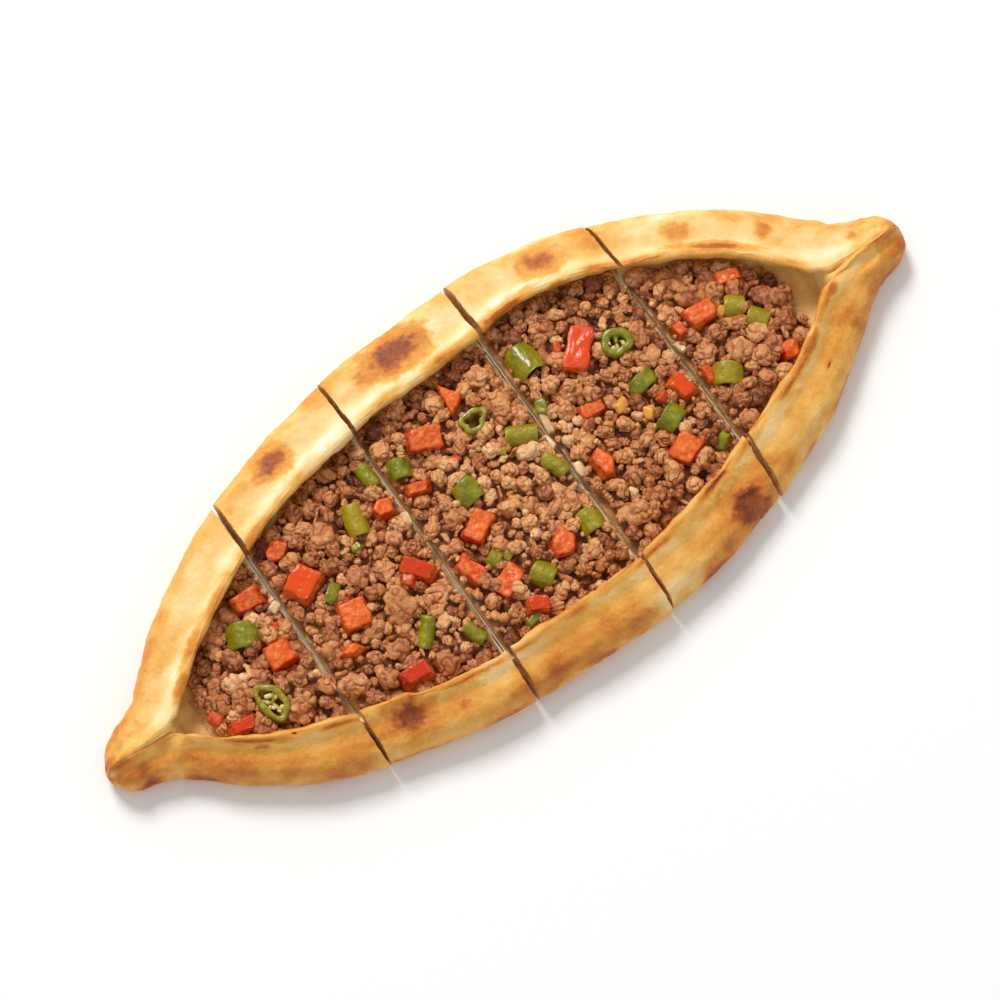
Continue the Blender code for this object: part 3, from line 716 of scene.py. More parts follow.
def dough_relief(points, inward, upward, swell, line, inner):
    """Height of the skin over the drawn section: soft dents, blisters on the oven spots and along the
    browned crest, small pits, a lip that waves, and at the tips a fold along the seam and a dimple
    where the dough was pinched."""
    soft = 0.70 * layered(points, 22 * MM, 11) + 0.36 * layered(points, 8 * MM, 12)
    fine = 0.09 * layered(points, 2.2 * MM, 13) + 0.03 * noise(points, 0.9 * MM, 14)
    pits = smooth_step(noise(points, 3.1 * MM, 18), 0.62, 0.85) * -0.22
    lip = bell(inward, 22.0, 2.5) * (upward > 14)
    wave = lip * (0.85 * noise(points, 9 * MM, 15) + 0.40 * noise(points, 4.5 * MM, 16))
    x, y = points[..., 0] / MM, (points[..., 1] - centre_line(points[..., 0])) / MM
    closing = smooth_step(np.abs(x), 138, 148) * (1.0 - smooth_step(np.abs(x), 156, 170))
    ridge = closing * (bell(y, np.where(x > 0, -3.0, -2.6), 1.8) - 0.7 * bell(y, -7.5, 2.2)) * (upward > 10)
    folds = closing * noise(points * np.array([0.45, 1.0, 1.0]), 3.4 * MM, 23) * bell(y, -1.0, 7.0)
    dimple = 0.0
    for along, across, width, depth in TIP_DIMPLES:
        off = np.hypot(x - along, points[..., 1] / MM - across)
        dip = bell(off, 0.0, width) - 0.35 * bell(off, 1.6 * width, 0.7 * width)
        dimple = dimple + depth * dip * (upward > 8)
    blister = swell * (0.7 + 0.22 * layered(points, 1.6 * MM, 17)) + 0.30 * line * noise(points, 1.7 * MM, 19)
    knobs = 0.8 * noise(points, 7 * MM, 24) + 0.35 * noise(points, 3 * MM, 25)
    knobs = smooth_step(np.abs(x), 146, 158) * knobs
    height = soft + fine + knobs + wave + 0.9 * ridge + 0.7 * folds - dimple
    height = height + (0.0 if inner else 1.0) * (blister + pits)
    height = height * smooth_step(points[..., 2], 0.3 * MM, 3.5 * MM)
    if inner:
        height = height * (0.35 + 0.65 * smooth_step(upward, 4.6, 9.0))
    return height * MM


def ragged_end(grid, ends, cut, inner):
    """Near a cut the knife drags the skin down, opens the top of the rim, leaves the edge a little
    ragged along X, and nearly closes the base again."""
    for end in cut:
        past = np.abs(grid[..., 0] - ends[end])
        outward = -1.0 if end == 0 else 1.0
        near_cut = np.exp(-past / (1.1 * MM))
        drag = 0.40 * MM * near_cut * smooth_step(grid[..., 2], 6 * MM, 15 * MM)
        rag = near_cut * 0.24 * MM * layered(grid * np.array([0.2, 1.0, 1.0]), 1.7 * MM, 21 + end)
        opened = 0.42 * MM * np.exp(-past / (1.4 * MM)) * smooth_step(grid[..., 2], 7 * MM, 16 * MM)
        closed = 0.56 * MM * near_cut * (1.0 - smooth_step(grid[..., 2], 5 * MM, 8 * MM)) * inner
        grid[..., 2] -= drag
        grid[..., 0] += rag + outward * (closed - opened)
    return grid


def make_crust(index, material):
    """One slice's dough: two displaced sheets closed by a knobbed tip or by cut faces with open crumb."""
    x = dough_stations(index)
    ends = slice_ends(index)
    cut = [end for end in (0, 1) if (index, end) not in ((FIRST, 0), (LAST, 1))]
    sheets = []
    fields = []
    for inner, sheet in enumerate(dough_sheets(x)):
        inward, upward, side = section_place(inner)
        browning, swell, line = dough_browning(sheet, inward, upward, side, bool(inner))
        relief = dough_relief(sheet, inward, upward, swell, line, bool(inner))
        facing = grid_normals(sheet) * (-1.0 if inner else 1.0)
        moved = sheet + facing * (relief * tip_rounding(x)[:, None])[..., None]
        moved[..., 2] = np.maximum(moved[..., 2], 0.0)
        sheets.append(ragged_end(moved, ends, cut, inner))
        oil = (1.0 - smooth_step(upward, 8.0, 16.5)) * (inward > 18.5) * inner
        pale = bell(knife_gap(moved[..., 0]), 0.0, 1.5 * MM) * (moved[..., 2] < 8 * MM) * inner
        fields.append((browning * (1.0 - pale), oil * (1.0 - pale)))
    outer, inner = sheets
    inner[:, 0] = outer[:, 0]
    inner[:, -1] = outer[:, -1]
    pole = [None, None]
    if index in (FIRST, LAST):
        end = 0 if index == FIRST else 1
        tip = -HALF if index == FIRST else HALF
        pole[end] = (tip, float(centre_line(np.array(tip))), 5.0 * MM)
    points, faces, cuts = shell(outer, inner, *pole)
    browning = np.concatenate([fields[0][0].ravel(), fields[1][0][:, 1:-1].ravel()])
    oil = np.concatenate([fields[0][1].ravel(), fields[1][1][:, 1:-1].ravel()])
    extra = len(points) - len(browning)
    browning = np.concatenate([browning, np.full(extra, 0.45)])
    oil = np.concatenate([oil, np.zeros(extra)])
    crumb = np.zeros(len(points))
    for end, number in zip(cut, cuts):
        face = points[number]
        outward = -1.0 if end == 0 else 1.0
        pores = smooth_step(layered(face, 2.4 * MM, 31 + index), 0.12, 0.5)
        face[..., 0] -= outward * (0.5 * MM * pores - 0.10 * MM * noise(face, 1.2 * MM, 33))
        points[number] = face
        crumb[number] = 1.0
    fields = {"browning": browning, "oil": oil, "crumb": crumb}
    mesh = make_mesh(f"crust_{index}", to_frame(points, index), faces, fields, sharp=60)
    return show(f"baked_crust_{index}", mesh, material, [f"crust_{index}"])


# ------------------------------------------------------------------------------------------
# Mince


def mince_height(x, y):
    """Top of the bed of mince: an even layer that drops at its edge and towards the tips, and is uneven."""
    across = y - centre_line(x)
    from_edge = np.minimum(mouth(x, FAR) - 0.4 * MM - across, mouth(x, NEAR) - 0.4 * MM + across)
    drop = MINCE_EDGE_DROP * (1.0 - smooth_step(from_edge, 0.0, 11 * MM))
    from_end = np.minimum(x - MINCE_ENDS[0], MINCE_ENDS[1] - x)
    end_drop = 2.6 * MM * (1.0 - smooth_step(from_end, 0.0, 22 * MM))
    u, v = x / MM, y / MM
    lumps = 0.55 * np.sin(0.31 * u + 0.8) * np.sin(0.37 * v + 1.9)
    lumps = lumps + 0.35 * np.sin(0.63 * u + 0.49 * v) + 0.3 * np.sin(0.55 * v - 0.71 * u + 1.0)
    return MINCE_HEIGHT - drop - end_drop + lumps * MM


def cover(x, y):
    """How much mince lies here, from 0 to 1: all over the bed, but thin at its two ends and patchy by
    the near rim."""
    from_end = np.minimum(x - MINCE_ENDS[0], MINCE_ENDS[1] - x)
    points = np.stack([x, y, np.zeros_like(x)], -1)
    near_gap = mouth(x, NEAR) + (y - centre_line(x))
    patchy = 0.75 * (1.0 - smooth_step(near_gap, 1 * MM, 8 * MM)) * (noise(points, 13 * MM, 41) > 0.05)
    return smooth_step(from_end + 5 * MM * noise(points, 9 * MM, 42), 1 * MM, 9 * MM) * (1.0 - patchy)


def knife_gap(x):
    """Distance along X to the nearest knife cut."""
    return np.min(np.abs(np.asarray(x)[..., None] - np.array(CUTS)), axis=-1)


def near_knife(x):
    """1 at a knife cut, falling to 0 a few millimetres away from it."""
    return 1.0 - smooth_step(knife_gap(x), 0.8 * MM, 3.2 * MM)


def make_bed(index, material):
    """What is seen between the crumbs: fine mince and juices, a relief over a core that is lower than
    the frame's."""
    start, end = slice_ends(index)
    start, end = max(start + 0.15 * MM, MINCE_ENDS[0]), min(end - 0.15 * MM, MINCE_ENDS[1])
    x = np.linspace(start, end, int((end - start) / (0.9 * MM)) + 1)
    share = np.linspace(1.0, -1.0, 101)
    far, near = mouth(x, FAR)[:, None], mouth(x, NEAR)[:, None]
    reach = np.where(share > 0, far, near) + 1.2 * MM
    y = centre_line(x)[:, None] + share * reach
    along = np.broadcast_to(x[:, None], y.shape)
    ground = np.stack([along, y, np.zeros_like(y)], -1)
    grains = 0.9 * np.abs(noise(ground, 3.2 * MM, 51)) + 0.45 * np.abs(noise(ground, 1.5 * MM, 52))
    floor = BASE_THICKNESS + 0.25 * MM
    pressed = near_knife(along)
    top = mince_height(along, y) - 3.4 * MM - 0.6 * MM * pressed
    top = top + (grains * (1.0 - 0.7 * pressed) - 0.4) * MM
    top = np.maximum(top, floor + 0.3 * MM)
    drift = 0.6 * MM * noise(ground, 6 * MM, 55)
    groove = 1.0 - smooth_step(knife_gap(along) + drift, 0.8 * MM, 1.6 * MM)
    bare = 1.0 - smooth_step(cover(along, y), 0.0, 0.9)
    top = top - 0.5 * MM * groove
    top = floor + 0.15 * MM + (top - floor) * (1.0 - bare) + 0.3 * MM * bare * noise(ground, 2.5 * MM, 56)
    outer = np.stack([along, y, np.maximum(top, floor + 0.05 * MM)], -1)
    inner = np.array(outer)
    inner[..., 2] = floor
    inner[:, 0] = outer[:, 0]
    inner[:, -1] = outer[:, -1]
    points, faces, _ = shell(outer, inner, cut_rows=(0.35, 0.7))
    depth = np.zeros(len(points))
    depth[: grains.size] = grains.ravel()
    smear = np.zeros(len(points))
    dragged = 0.4 * pressed * (1.0 + noise(ground, 5 * MM, 54))
    smear[: bare.size] = np.clip(bare * 1.2 + groove + dragged, 0.0, 1.0).ravel()
    smear[grains.size :] = 1.0
    # Painted shade: the bed is darker in its low places between the crumbs, and darkest on its sides and
    # underside.
    fields = {
        "painted_shade": np.clip(1.1 - depth, 0.0, 1.0),
        "tint": noise(points, 6 * MM, 53) - 0.4,
        "smear": smear,
    }
    mesh = make_mesh(f"mince_bed_{index}", to_frame(points, index), faces, fields, sharp=60)
    return show(f"mince_bed_{index}", mesh, material, [f"mince_{index}"])


def ball(level):
    """Directions of the points of an icosphere, its triangles and its edges."""
    bm = bmesh.new()
    bmesh.ops.create_icosphere(bm, subdivisions=level, radius=1.0)
    directions = np.array([v.co[:] for v in bm.verts])
    triangles = np.array([[v.index for v in face.verts] for face in bm.faces])
    edges = np.array([[v.index for v in edge.verts] for edge in bm.edges])
    bm.free()
    directions /= np.linalg.norm(directions, axis=1, keepdims=True)
    return directions, triangles, edges


def lump_shape(level, granules, granule_size, length):
    """A clump of mince about 2 across: along each direction, the furthest reach of a heap of
    overlapping balls, on a core that is bent and dented by noise. Returns the points and a painted
    shade for each, which is deeper in its creases, dents and folds."""
    directions, _, edges = ball(level)
    spread = np.array([length, 1.0, 0.80])
    centres = random.normal(size=(granules, 3))
    centres /= np.linalg.norm(centres, axis=1, keepdims=True)
    centres *= (1.0 - granule_size) * random.uniform(0.62, 1.08, (granules, 1)) * spread
    sizes = granule_size * random.uniform(0.6, 1.35, granules)
    along = directions @ centres.T
    under_root = along**2 - np.sum(centres**2, axis=1) + sizes**2
    reach = np.where(under_root > 0.0, along + np.sqrt(np.maximum(under_root, 0.0)), 0.0)
    seed = int(random.integers(1000))
    dented = 1.0 + 0.35 * noise(directions, 0.9, seed)
    core = 0.60 * np.linalg.norm(directions * spread, axis=1) * dented
    reach = np.hstack([np.maximum(reach, 0.0), core[:, None]])
    sharpness = 14
    radius = np.sum(reach**sharpness, axis=1) ** (1.0 / sharpness)
    folds = np.minimum(np.abs(noise(directions * radius[:, None], 0.62, seed + 1)) * 2.6, 1.0)
    grit = 1.0 + 0.07 * noise(directions * radius[:, None], 0.30, seed + 2)
    radius = radius * (0.82 + 0.20 * folds) * grit
    around = np.zeros(len(radius))
    np.add.at(around, edges[:, 0], radius[edges[:, 1]])
    np.add.at(around, edges[:, 1], radius[edges[:, 0]])
    around /= np.bincount(edges.ravel(), minlength=len(radius))
    # Painted shade: darker where a point lies below its neighbours, on the smaller radii and in the folds.
    painted_shade = (around - radius) * 9.0 + 0.45 - 0.7 * (radius - radius.mean()) - 0.35 * folds
    painted_shade = np.clip(painted_shade, 0.0, 1.0)
    points = directions * radius[:, None]
    return points / np.mean(np.abs(points[:, :2]).max(axis=0)), painted_shade


def strand_shape():
    """A curled strand of mince about 2 long: a circle carried along a bent line, its radius beaded and
    uneven."""
    rows, columns = STRAND_GRID
    share = np.linspace(0.0, 1.0, rows)
    bend = random.uniform(0.6, 3.6)
    angle = bend * (share - 0.5)
    line = np.column_stack([np.sin(angle), 1.0 - np.cos(angle), random.uniform(-0.25, 0.25) * (share - 0.5)])
    line *= 1.0 / max(np.ptp(line[:, 0]), 1e-6) * random.uniform(1.3, 1.8)
    line -= line.mean(axis=0)
    beads = random.uniform(3.0, 6.0)
    profile = random.uniform(0.30, 0.54) * np.sqrt(1.0 - (2 * share - 1.0) ** 2 * 0.999) ** 0.5
    thin = random.uniform(0.45, 0.95)
    profile *= 1.0 + 0.16 * np.sin(2 * math.pi * beads * share + random.uniform(0, 6))
    along = np.gradient(line, axis=0)
    along /= np.linalg.norm(along, axis=1, keepdims=True)
    up = np.cross(along, (0.0, 0.0, 1.0))
    up /= np.linalg.norm(up, axis=1, keepdims=True)
    other = np.cross(along, up)
    turn = np.linspace(0.0, 2 * math.pi, columns, endpoint=False)
    turn = turn[None, :, None]
    circle = np.cos(turn) * up[:, None] + thin * np.sin(turn) * other[:, None]
    grid = line[:, None] + circle * profile[:, None, None]
    bumps = 0.40 * noise(grid, 0.45, int(random.integers(1000))) + 0.12 * noise(grid, 0.2, 9)
    grid = line[:, None] + circle * (profile[:, None] * (1.0 + bumps))[..., None]
    points = np.vstack([grid.reshape(-1, 3), line[0], line[-1]])
    # Painted shade: darker in the strand's dents.
    painted_shade = np.clip(0.35 - 1.2 * np.append(bumps.ravel(), [0.0, 0.0]), 0.0, 1.0)
    return points, painted_shade


def strand_faces():
    """Faces of a strand: its grid, and a fan round the point at each end."""
    rows, columns = STRAND_GRID
    ring = np.arange(columns)
    last = (rows - 1) * columns + ring
    first_point = rows * columns
    quads = grid_faces(rows, columns, closed=True)
    start = np.stack([np.roll(ring, -1), ring, np.full(columns, first_point)], -1)
    end = np.stack([last, np.roll(last, -1), np.full(columns, first_point + 1)], -1)
    halves = np.vstack([quads[:, [0, 1, 2]], quads[:, [0, 2, 3]]])
    return np.vstack([halves, start, end])


def turned(count):
    """Random rotation matrices, from random quaternions."""
    quaternions = random.normal(size=(4, count))
    w, x, y, z = quaternions / np.linalg.norm(quaternions, axis=0)
    rows = (
        (1 - 2 * (y * y + z * z), 2 * (x * y - w * z), 2 * (x * z + w * y)),
        (2 * (x * y + w * z), 1 - 2 * (x * x + z * z), 2 * (y * z - w * x)),
        (2 * (x * z - w * y), 2 * (y * z + w * x), 1 - 2 * (x * x + y * y)),
    )
    return np.array(rows).transpose(2, 0, 1)


def footprint_distance(x, y, footprints):
    """Distance from points to the nearest topping, taken as turned rectangles, and below 0 inside one."""
    nearest = np.full(np.shape(x), 1.0)
    for centre, half, turn in footprints:
        dx, dy = x - centre[0], y - centre[1]
        across = np.abs(dx * math.cos(turn) + dy * math.sin(turn)) - half[0]
        along = np.abs(dy * math.cos(turn) - dx * math.sin(turn)) - half[1]
        outside = np.hypot(np.maximum(across, 0.0), np.maximum(along, 0.0))
        nearest = np.minimum(nearest, outside + np.minimum(np.maximum(across, along), 0.0))
    return nearest


def scatter(index, sizes, placed, footprints, overlap, tries):
    """Throws crumbs of the given radii on a slice. One is kept where it clears the toppings, the lip
    and the crumbs already placed, but for the given share of overlap. Adds rows of x, y and radius to
    placed."""
    start, end = slice_ends(index)
    start, end = max(start, MINCE_ENDS[0]), min(end, MINCE_ENDS[1])
    kept = []
    for radius in sizes:
        x = random.uniform(start + 0.8 * radius, end - 0.8 * radius, tries)
        share = random.uniform(-1.0, 1.0, tries)
        luck = random.uniform(0.0, 1.0, tries)
        reach = np.where(share > 0, mouth(x, FAR) + 3.4 * MM, mouth(x, NEAR) + 2.4 * MM) - 0.6 * radius
        y = centre_line(x) + share * np.maximum(reach, 0.0)
        good = cover(x, y) * (1.0 - 0.25 * near_knife(x)) > 0.2 + 0.45 * luck
        good &= footprint_distance(x, y, footprints) > (0.15 if radius > 2.2 * MM else -0.15) * radius
        if placed:
            others = np.array(placed)
            gap = np.hypot(x[:, None] - others[:, 0], y[:, None] - others[:, 1])
            good &= np.all(gap > (others[:, 2] + radius) * (1.0 - overlap), axis=1)
        if good.any():
            first = int(np.argmax(good))
            placed.append((x[first], y[first], radius))
            kept.append((x[first], y[first], radius))
    return np.array(kept).reshape(-1, 3)


def crumb_arrays(crumbs, heights, shapes, triangles, flatten, tints):
    """Lays a few dozen kinds of lump over the given places, each turned, sized and tinted its own way."""
    points = np.array([shape[0] for shape in shapes])
    painted_shades = np.array([shape[1] for shape in shapes])
    kind = random.integers(0, len(shapes), len(crumbs))
    lumps = np.einsum("nij,nkj->nki", turned(len(crumbs)), points[kind])
    # Painted shade: darker again on the lower half of each lump, where the crumbs shade one another, and
    # partly the juice they sit in.
    painted_shade = np.clip(painted_shades[kind] + 0.75 * smooth_step(-lumps[..., 2], -0.25, 0.75), 0.0, 1.0)
    lumps[..., 2] *= flatten
    lumps *= crumbs[:, 2][:, None, None]
    lumps += np.stack([crumbs[:, 0], crumbs[:, 1], heights], -1)[:, None, :]
    count = points.shape[1]
    faces = triangles[None] + count * np.arange(len(crumbs))[:, None, None]
    return lumps.reshape(-1, 3), faces.reshape(-1, 3), painted_shade.ravel(), np.repeat(tints, count)


def lay_crumbs(index, name, places, shapes, triangles, flatten, rise, tints, material):
    """One slice's mince of one kind, laid on the bed as one piece. It is paler towards the middle of
    the boat."""
    bed = mince_height(places[:, 0], places[:, 1]) - 0.6 * MM * near_knife(places[:, 0])
    heights = bed - 1.5 * MM + rise * places[:, 2] + random.normal(0.0, 0.45, len(places)) * MM
    points, faces, painted_shade, tint = crumb_arrays(places, heights, shapes, triangles, flatten, tints)
    points[:, 2] = np.maximum(points[:, 2], BASE_THICKNESS + 0.1 * MM)
    from_middle = np.hypot(points[:, 0] - 4 * MM, points[:, 1] + 2 * MM)
    tint = tint + bell(from_middle, 0.0, 42 * MM) - 0.70
    fields = {"painted_shade": painted_shade, "tint": tint, "smear": np.zeros(len(painted_shade))}
    mesh = make_mesh(f"{name}_{index}", to_frame(points, index), [faces], fields)
    return show(f"{name}_{index}", mesh, material)


def make_crumbs(index, footprints, kinds, material):
    """One slice's mince: big clumps placed one by one, then thrown clumps, lumps, curled strands and
    crumbs. The first and last slice carry half as many of each, and somewhat larger lumps and
    strands."""
    chosen = [clump for clump in BIG_CLUMPS if slice_at(clump[0] * MM) == index]
    big = np.array([(x * MM, y * MM, size * MM / 2) for x, y, size, _ in chosen]).reshape(-1, 3)
    placed = [tuple(clump) for clump in big]
    at_tip = index in (FIRST, LAST)
    places = {}
    for kind, (smallest, largest, number, overlap, tries, tip_growth) in THROWN_MINCE.items():
        radii = random.uniform(smallest, largest, int(number * (0.5 if at_tip else 1.0)))
        radii = (tip_growth if at_tip else 1.0) * radii * MM
        places[kind] = scatter(index, radii, placed, footprints, overlap, tries)
        if kind == "clump":
            thrown_depths = random.uniform(0.2, 0.8, len(places[kind]))
            depths = np.concatenate([[clump[3] for clump in chosen], thrown_depths])
            places[kind] = np.vstack([big, places[kind]])
    for kind, (flatten, rise, tint, spread) in LAID_MINCE.items():
        darker = 1.5 * (0.5 - depths) if kind == "clump" else 0.0
        tints = darker + random.normal(tint, spread, len(places[kind]))
        name = f"mince_{kind}s"
        lay_crumbs(index, name, places[kind], *kinds[kind], flatten, rise, tints, material)


def mince_kinds():
    """The shapes that the mince is laid from: a few dozen of each kind, with the triangles that they
    share."""

    def heaps(count, level, granules, granule_size, longest, shortest=1.0):
        """Lump shapes of random length in proportion to their width, on one level of icosphere."""
        shapes = []
        for _ in range(count):
            shapes.append(lump_shape(level, granules, granule_size, random.uniform(shortest, longest)))
        return shapes, ball(level)[1]

    return {
        "clump": heaps(20, 5, 20, 0.42, 1.5),
        "lump": heaps(40, 4, 7, 0.58, 2.0, 1.1),
        "strand": ([strand_shape() for _ in range(40)], strand_faces()),
        "crumb": heaps(40, 3, 3, 0.68, 2.2),
    }


# ------------------------------------------------------------------------------------------
# Toppings


def node_points(node):
    """The points of a CAD node, as an array."""
    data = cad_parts[node].data
    points = np.empty(len(data.vertices) * 3)
    data.vertices.foreach_get("co", points)
    return points.reshape(-1, 3)


def lie(node, turn):
    """Centre and size of a CAD node, measured along the axes of a piece that is turned about Z by some
    degrees."""
    angle = math.radians(turn) + math.radians(SLICE_TURN[node_slice(node) - 1])
    points = node_points(node)
    c, s = math.cos(angle), math.sin(angle)
    x, y, z = points.T
    own = np.column_stack([x * c + y * s, y * c - x * s, z])
    low, high = own.min(axis=0), own.max(axis=0)
    middle = (low + high) / 2
    centre = np.array([middle[0] * c - middle[1] * s, middle[0] * s + middle[1] * c, middle[2]])
    return centre, high - low, angle


def node_slice(node):
    """The slice that a topping lies on."""
    low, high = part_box(node)
    return slice_at((low.x + high.x) / 2)


def stand(points, centre, angle, tilt=(0.0, 0.0)):
    """Tilts points about X and Y by small angles, turns them about Z and moves them to their centre."""
    x, y, z = points[..., 0], points[..., 1], points[..., 2]
    y, z = y * math.cos(tilt[0]) - z * math.sin(tilt[0]), y * math.sin(tilt[0]) + z * math.cos(tilt[0])
    x, z = x * math.cos(tilt[1]) + z * math.sin(tilt[1]), z * math.cos(tilt[1]) - x * math.sin(tilt[1])
    c, s = math.cos(angle), math.sin(angle)
    return np.stack([x * c - y * s, x * s + y * c, z], -1) + centre


def soft_block(directions, sides, top_share, crisp=12.0):
    """Reach of a cut block along each direction: where it meets the nearest of its flat sides, with the
    corners softened by a power mean. Also gives each side's share of the surface there."""
    shift = {3: 0.25, 4: 0.0, 5: 0.05}[sides]
    angles = 2 * math.pi * (np.arange(sides) / sides + shift) + random.normal(0.0, 0.08, sides)
    lean = (1.0 - top_share) * 0.9 + random.normal(0.0, 0.07, sides)
    walls = np.column_stack([np.cos(angles), np.sin(angles), lean])
    ends = np.array([[random.normal(0.0, 0.08), random.normal(-0.04, 0.06), 1.0], [0.0, 0.0, -1.0]])
    normals = np.vstack([walls, ends])
    normals /= np.linalg.norm(normals, axis=1, keepdims=True)
    power = np.maximum(directions @ normals.T, 0.0) ** crisp
    total = power.sum(axis=1)
    return total ** (-1.0 / crisp), power / total[:, None]


def make_tomato(node, material):
    """A tomato dice: a soft-cornered block, wrinkled a little, with skin on one side and pulp on the
    others. Its top is painted a paler orange than its deeper red sides, as light falls on it."""
    turn, sides, top_share, skin_side, tone = TOMATO_CUTS[node]
    centre, size, angle = lie(node, turn)
    directions, triangles, _ = ball(5)
    reach, share = soft_block(directions, sides, top_share)
    points = directions * reach[:, None]
    points /= np.abs(points).max(axis=0)
    points *= size / 2
    seed = int(node[-2:])
    bumps = 0.80 * layered(points, 4.5 * MM, 60 + seed) + 0.24 * noise(points, 1.5 * MM, 61 + seed)
    skin = np.zeros(len(points))
    if skin_side != NO_SKIN:
        skin = smooth_step(share[:, sides if skin_side == TOP else skin_side], 0.35, 0.75)
    bumps = bumps * (1.0 - 0.5 * skin)
    points = points + directions * bumps[:, None] * MM
    tilt = random.normal(0.0, 0.07, 2)
    fields = {
        "skin": skin,
        # Painted light: the top is shifted towards orange, paler than the sides, which are shifted to deeper
        # red.
        "tone": np.clip(tone - 0.25 + 0.5 * smooth_step(share[:, sides], 0.4, 0.8), 0.0, 1.0),
        "edge": 1.0 - smooth_step(share.max(axis=1), 0.5, 0.95),
    }
    mesh = make_mesh(node, stand(points, centre, angle, tilt), [triangles], fields)
    return show(node.replace("tomato", "tomato_dice"), mesh, material, [node])


def wall_loop(line, wall, count):
    """Closes a curved line into the loop of a wall with rounded ends: out along one side, round, and
    back."""
    across = np.gradient(line, axis=0)
    normal = np.column_stack([across[:, 1], -across[:, 0]])
    normal /= np.linalg.norm(normal, axis=1, keepdims=True)
    outer = line - normal * wall / 2
    inner = line + normal * wall / 2
    bend = np.linspace(0.0, math.pi, count + 2)[1:-1, None]
    start_along = -across[0] / np.linalg.norm(across[0])
    end_along = across[-1] / np.linalg.norm(across[-1])
    end_cap = line[-1] + (-normal[-1] * np.cos(bend) + end_along * np.sin(bend) * 0.8) * wall / 2
    start_cap = line[0] + (normal[0] * np.cos(bend) + start_along * np.sin(bend) * 0.8) * wall / 2
    return np.vstack([outer, end_cap, inner[::-1], start_cap])


def make_strip(node, material):
    """A strip of pepper wall, skin up: the loop of a thick arch carried along the pepper, closed at
    both ends by bulging rows that shrink to a line in the middle of the wall."""
    turn, roll, tone = PEPPER_STRIPS[node]
    centre, size, angle = lie(node, turn)
    seed = int(node[-2:])
    chord, length, height = size[0] - PEPPER_WALL, size[1], size[2] - PEPPER_WALL * 0.7
    arch_points, cap_points = 33, 7
    back_start = arch_points + cap_points
    back_end = back_start + arch_points
    bend = np.linspace(-1.0, 1.0, arch_points)
    squareness = 2.6
    arch = np.column_stack([bend * chord / 2, (1.0 - np.abs(bend) ** squareness) * height])
    arch = curve_through(arch, arch_points)
    loop = wall_loop(arch, PEPPER_WALL, cap_points)
    far_cap, near_cap = np.repeat(arch[-1:], cap_points, 0), np.repeat(arch[:1], cap_points, 0)
    middle = np.vstack([arch, far_cap, arch[::-1], near_cap])
    straight, rounded = 0.38, 0.42
    start_rows, end_rows = np.linspace(-0.5, -rounded, 4), np.linspace(rounded, 0.5, 4)
    rows = np.concatenate([start_rows, np.linspace(-straight, straight, 17), end_rows])
    past = np.clip((np.abs(rows) - rounded) / 0.08, 0.0, 1.0)
    thick = np.sqrt(1.0 - 0.96 * past**2)[:, None, None]
    flat = middle[None] + (loop - middle)[None] * thick
    curl = 1.0 - 0.10 * (rows * 2) ** 2
    along = np.broadcast_to(rows[:, None] * length, flat.shape[:2])
    grid = np.stack([flat[..., 0] * curl[:, None], along, flat[..., 1]], -1)
    grid[..., 1] += 0.5 * MM * noise(grid * np.array([1.0, 0.0, 1.0]), 5 * MM, 70 + seed)
    grid += 0.22 * MM * np.stack([layered(grid, 4 * MM, 71 + seed + k) for k in range(3)], -1)
    grid[..., 2] -= grid[..., 2].min() + size[2] / 2 - 0.2 * MM
    skin = np.zeros(len(loop))
    skin[:arch_points] = 1.0
    inside = np.zeros(len(loop))
    inside[back_start:back_end] = 1.0
    points = stand(grid, centre, angle, (random.normal(0.0, 0.08), math.radians(roll)))
    rows_count, columns = grid.shape[:2]
    faces = [grid_faces(rows_count, columns, closed=True)]
    for row in (0, rows_count - 1):
        ring = row * columns + np.arange(columns)
        top, back = ring[:arch_points], ring[back_start:back_end][::-1]
        quads = np.stack([top[:-1], top[1:], back[1:], back[:-1]], -1)
        faces.append(quads if row == 0 else quads[:, ::-1])
        for corner_a, corner_b, cap in (
            (top[-1], back[-1], ring[arch_points:back_start]),
            (back[0], top[0], ring[back_end:]),
        ):
            rim = np.concatenate([[corner_a], cap, [corner_b]])
            fan = np.stack([np.full(len(rim) - 2, rim[0]), rim[1:-1], rim[2:]], -1)
            faces.append(fan[:, ::-1] if row == 0 else fan)
    fields = {
        "skin": np.tile(skin, rows_count) * np.repeat(1.0 - past, columns),
        "tone": np.full(len(loop) * rows_count, tone),
        "pith": np.tile(inside, rows_count),
    }
    mesh = make_mesh(node, points.reshape(-1, 3), faces, fields)
    return show(node.replace("pepper", "pepper_strip"), mesh, material, [node])


def ring_wall(length, width, thickness, wave, wall, seed):
    """A pepper's wall cut across: a rounded box section carried round a wavy oval. Returns its closed
    grid."""
    around = np.linspace(0.0, 2 * math.pi, 72, endpoint=False)
    wavy = 1.0 + wave * np.sin(3 * around + seed) * 0.6 + wave * 0.4 * np.sin(5 * around + 2.0 * seed)
    path = np.column_stack([length / 2 * np.cos(around) * wavy, width / 2 * np.sin(around) * wavy])
    inward = -path / np.linalg.norm(path, axis=1, keepdims=True)
    turn = np.linspace(0.0, 2 * math.pi, 20, endpoint=False)
    box_in = (np.sign(np.cos(turn)) * np.abs(np.cos(turn)) ** 0.6 + 1.0) * wall / 2
    box_up = np.sign(np.sin(turn)) * np.abs(np.sin(turn)) ** 0.5 * thickness / 2
    flat = path[:, None, :] + inward[:, None, :] * box_in[None, :, None]
    grid = np.concatenate([flat, np.broadcast_to(box_up[None, :, None], flat.shape[:2] + (1,))], -1)
    skin = np.tile((np.cos(turn) < 0.45).astype(float), len(around))
    return grid, skin


def wrap_faces(rows, columns):
    """Faces of a grid that closes on itself both ways, as a ring's does."""
    number = np.arange(rows * columns).reshape(rows, columns)
    down = np.roll(number, -1, axis=0)
    return np.stack([number, np.roll(number, -1, 1), np.roll(down, -1, 1), down], -1).reshape(-1, 4)


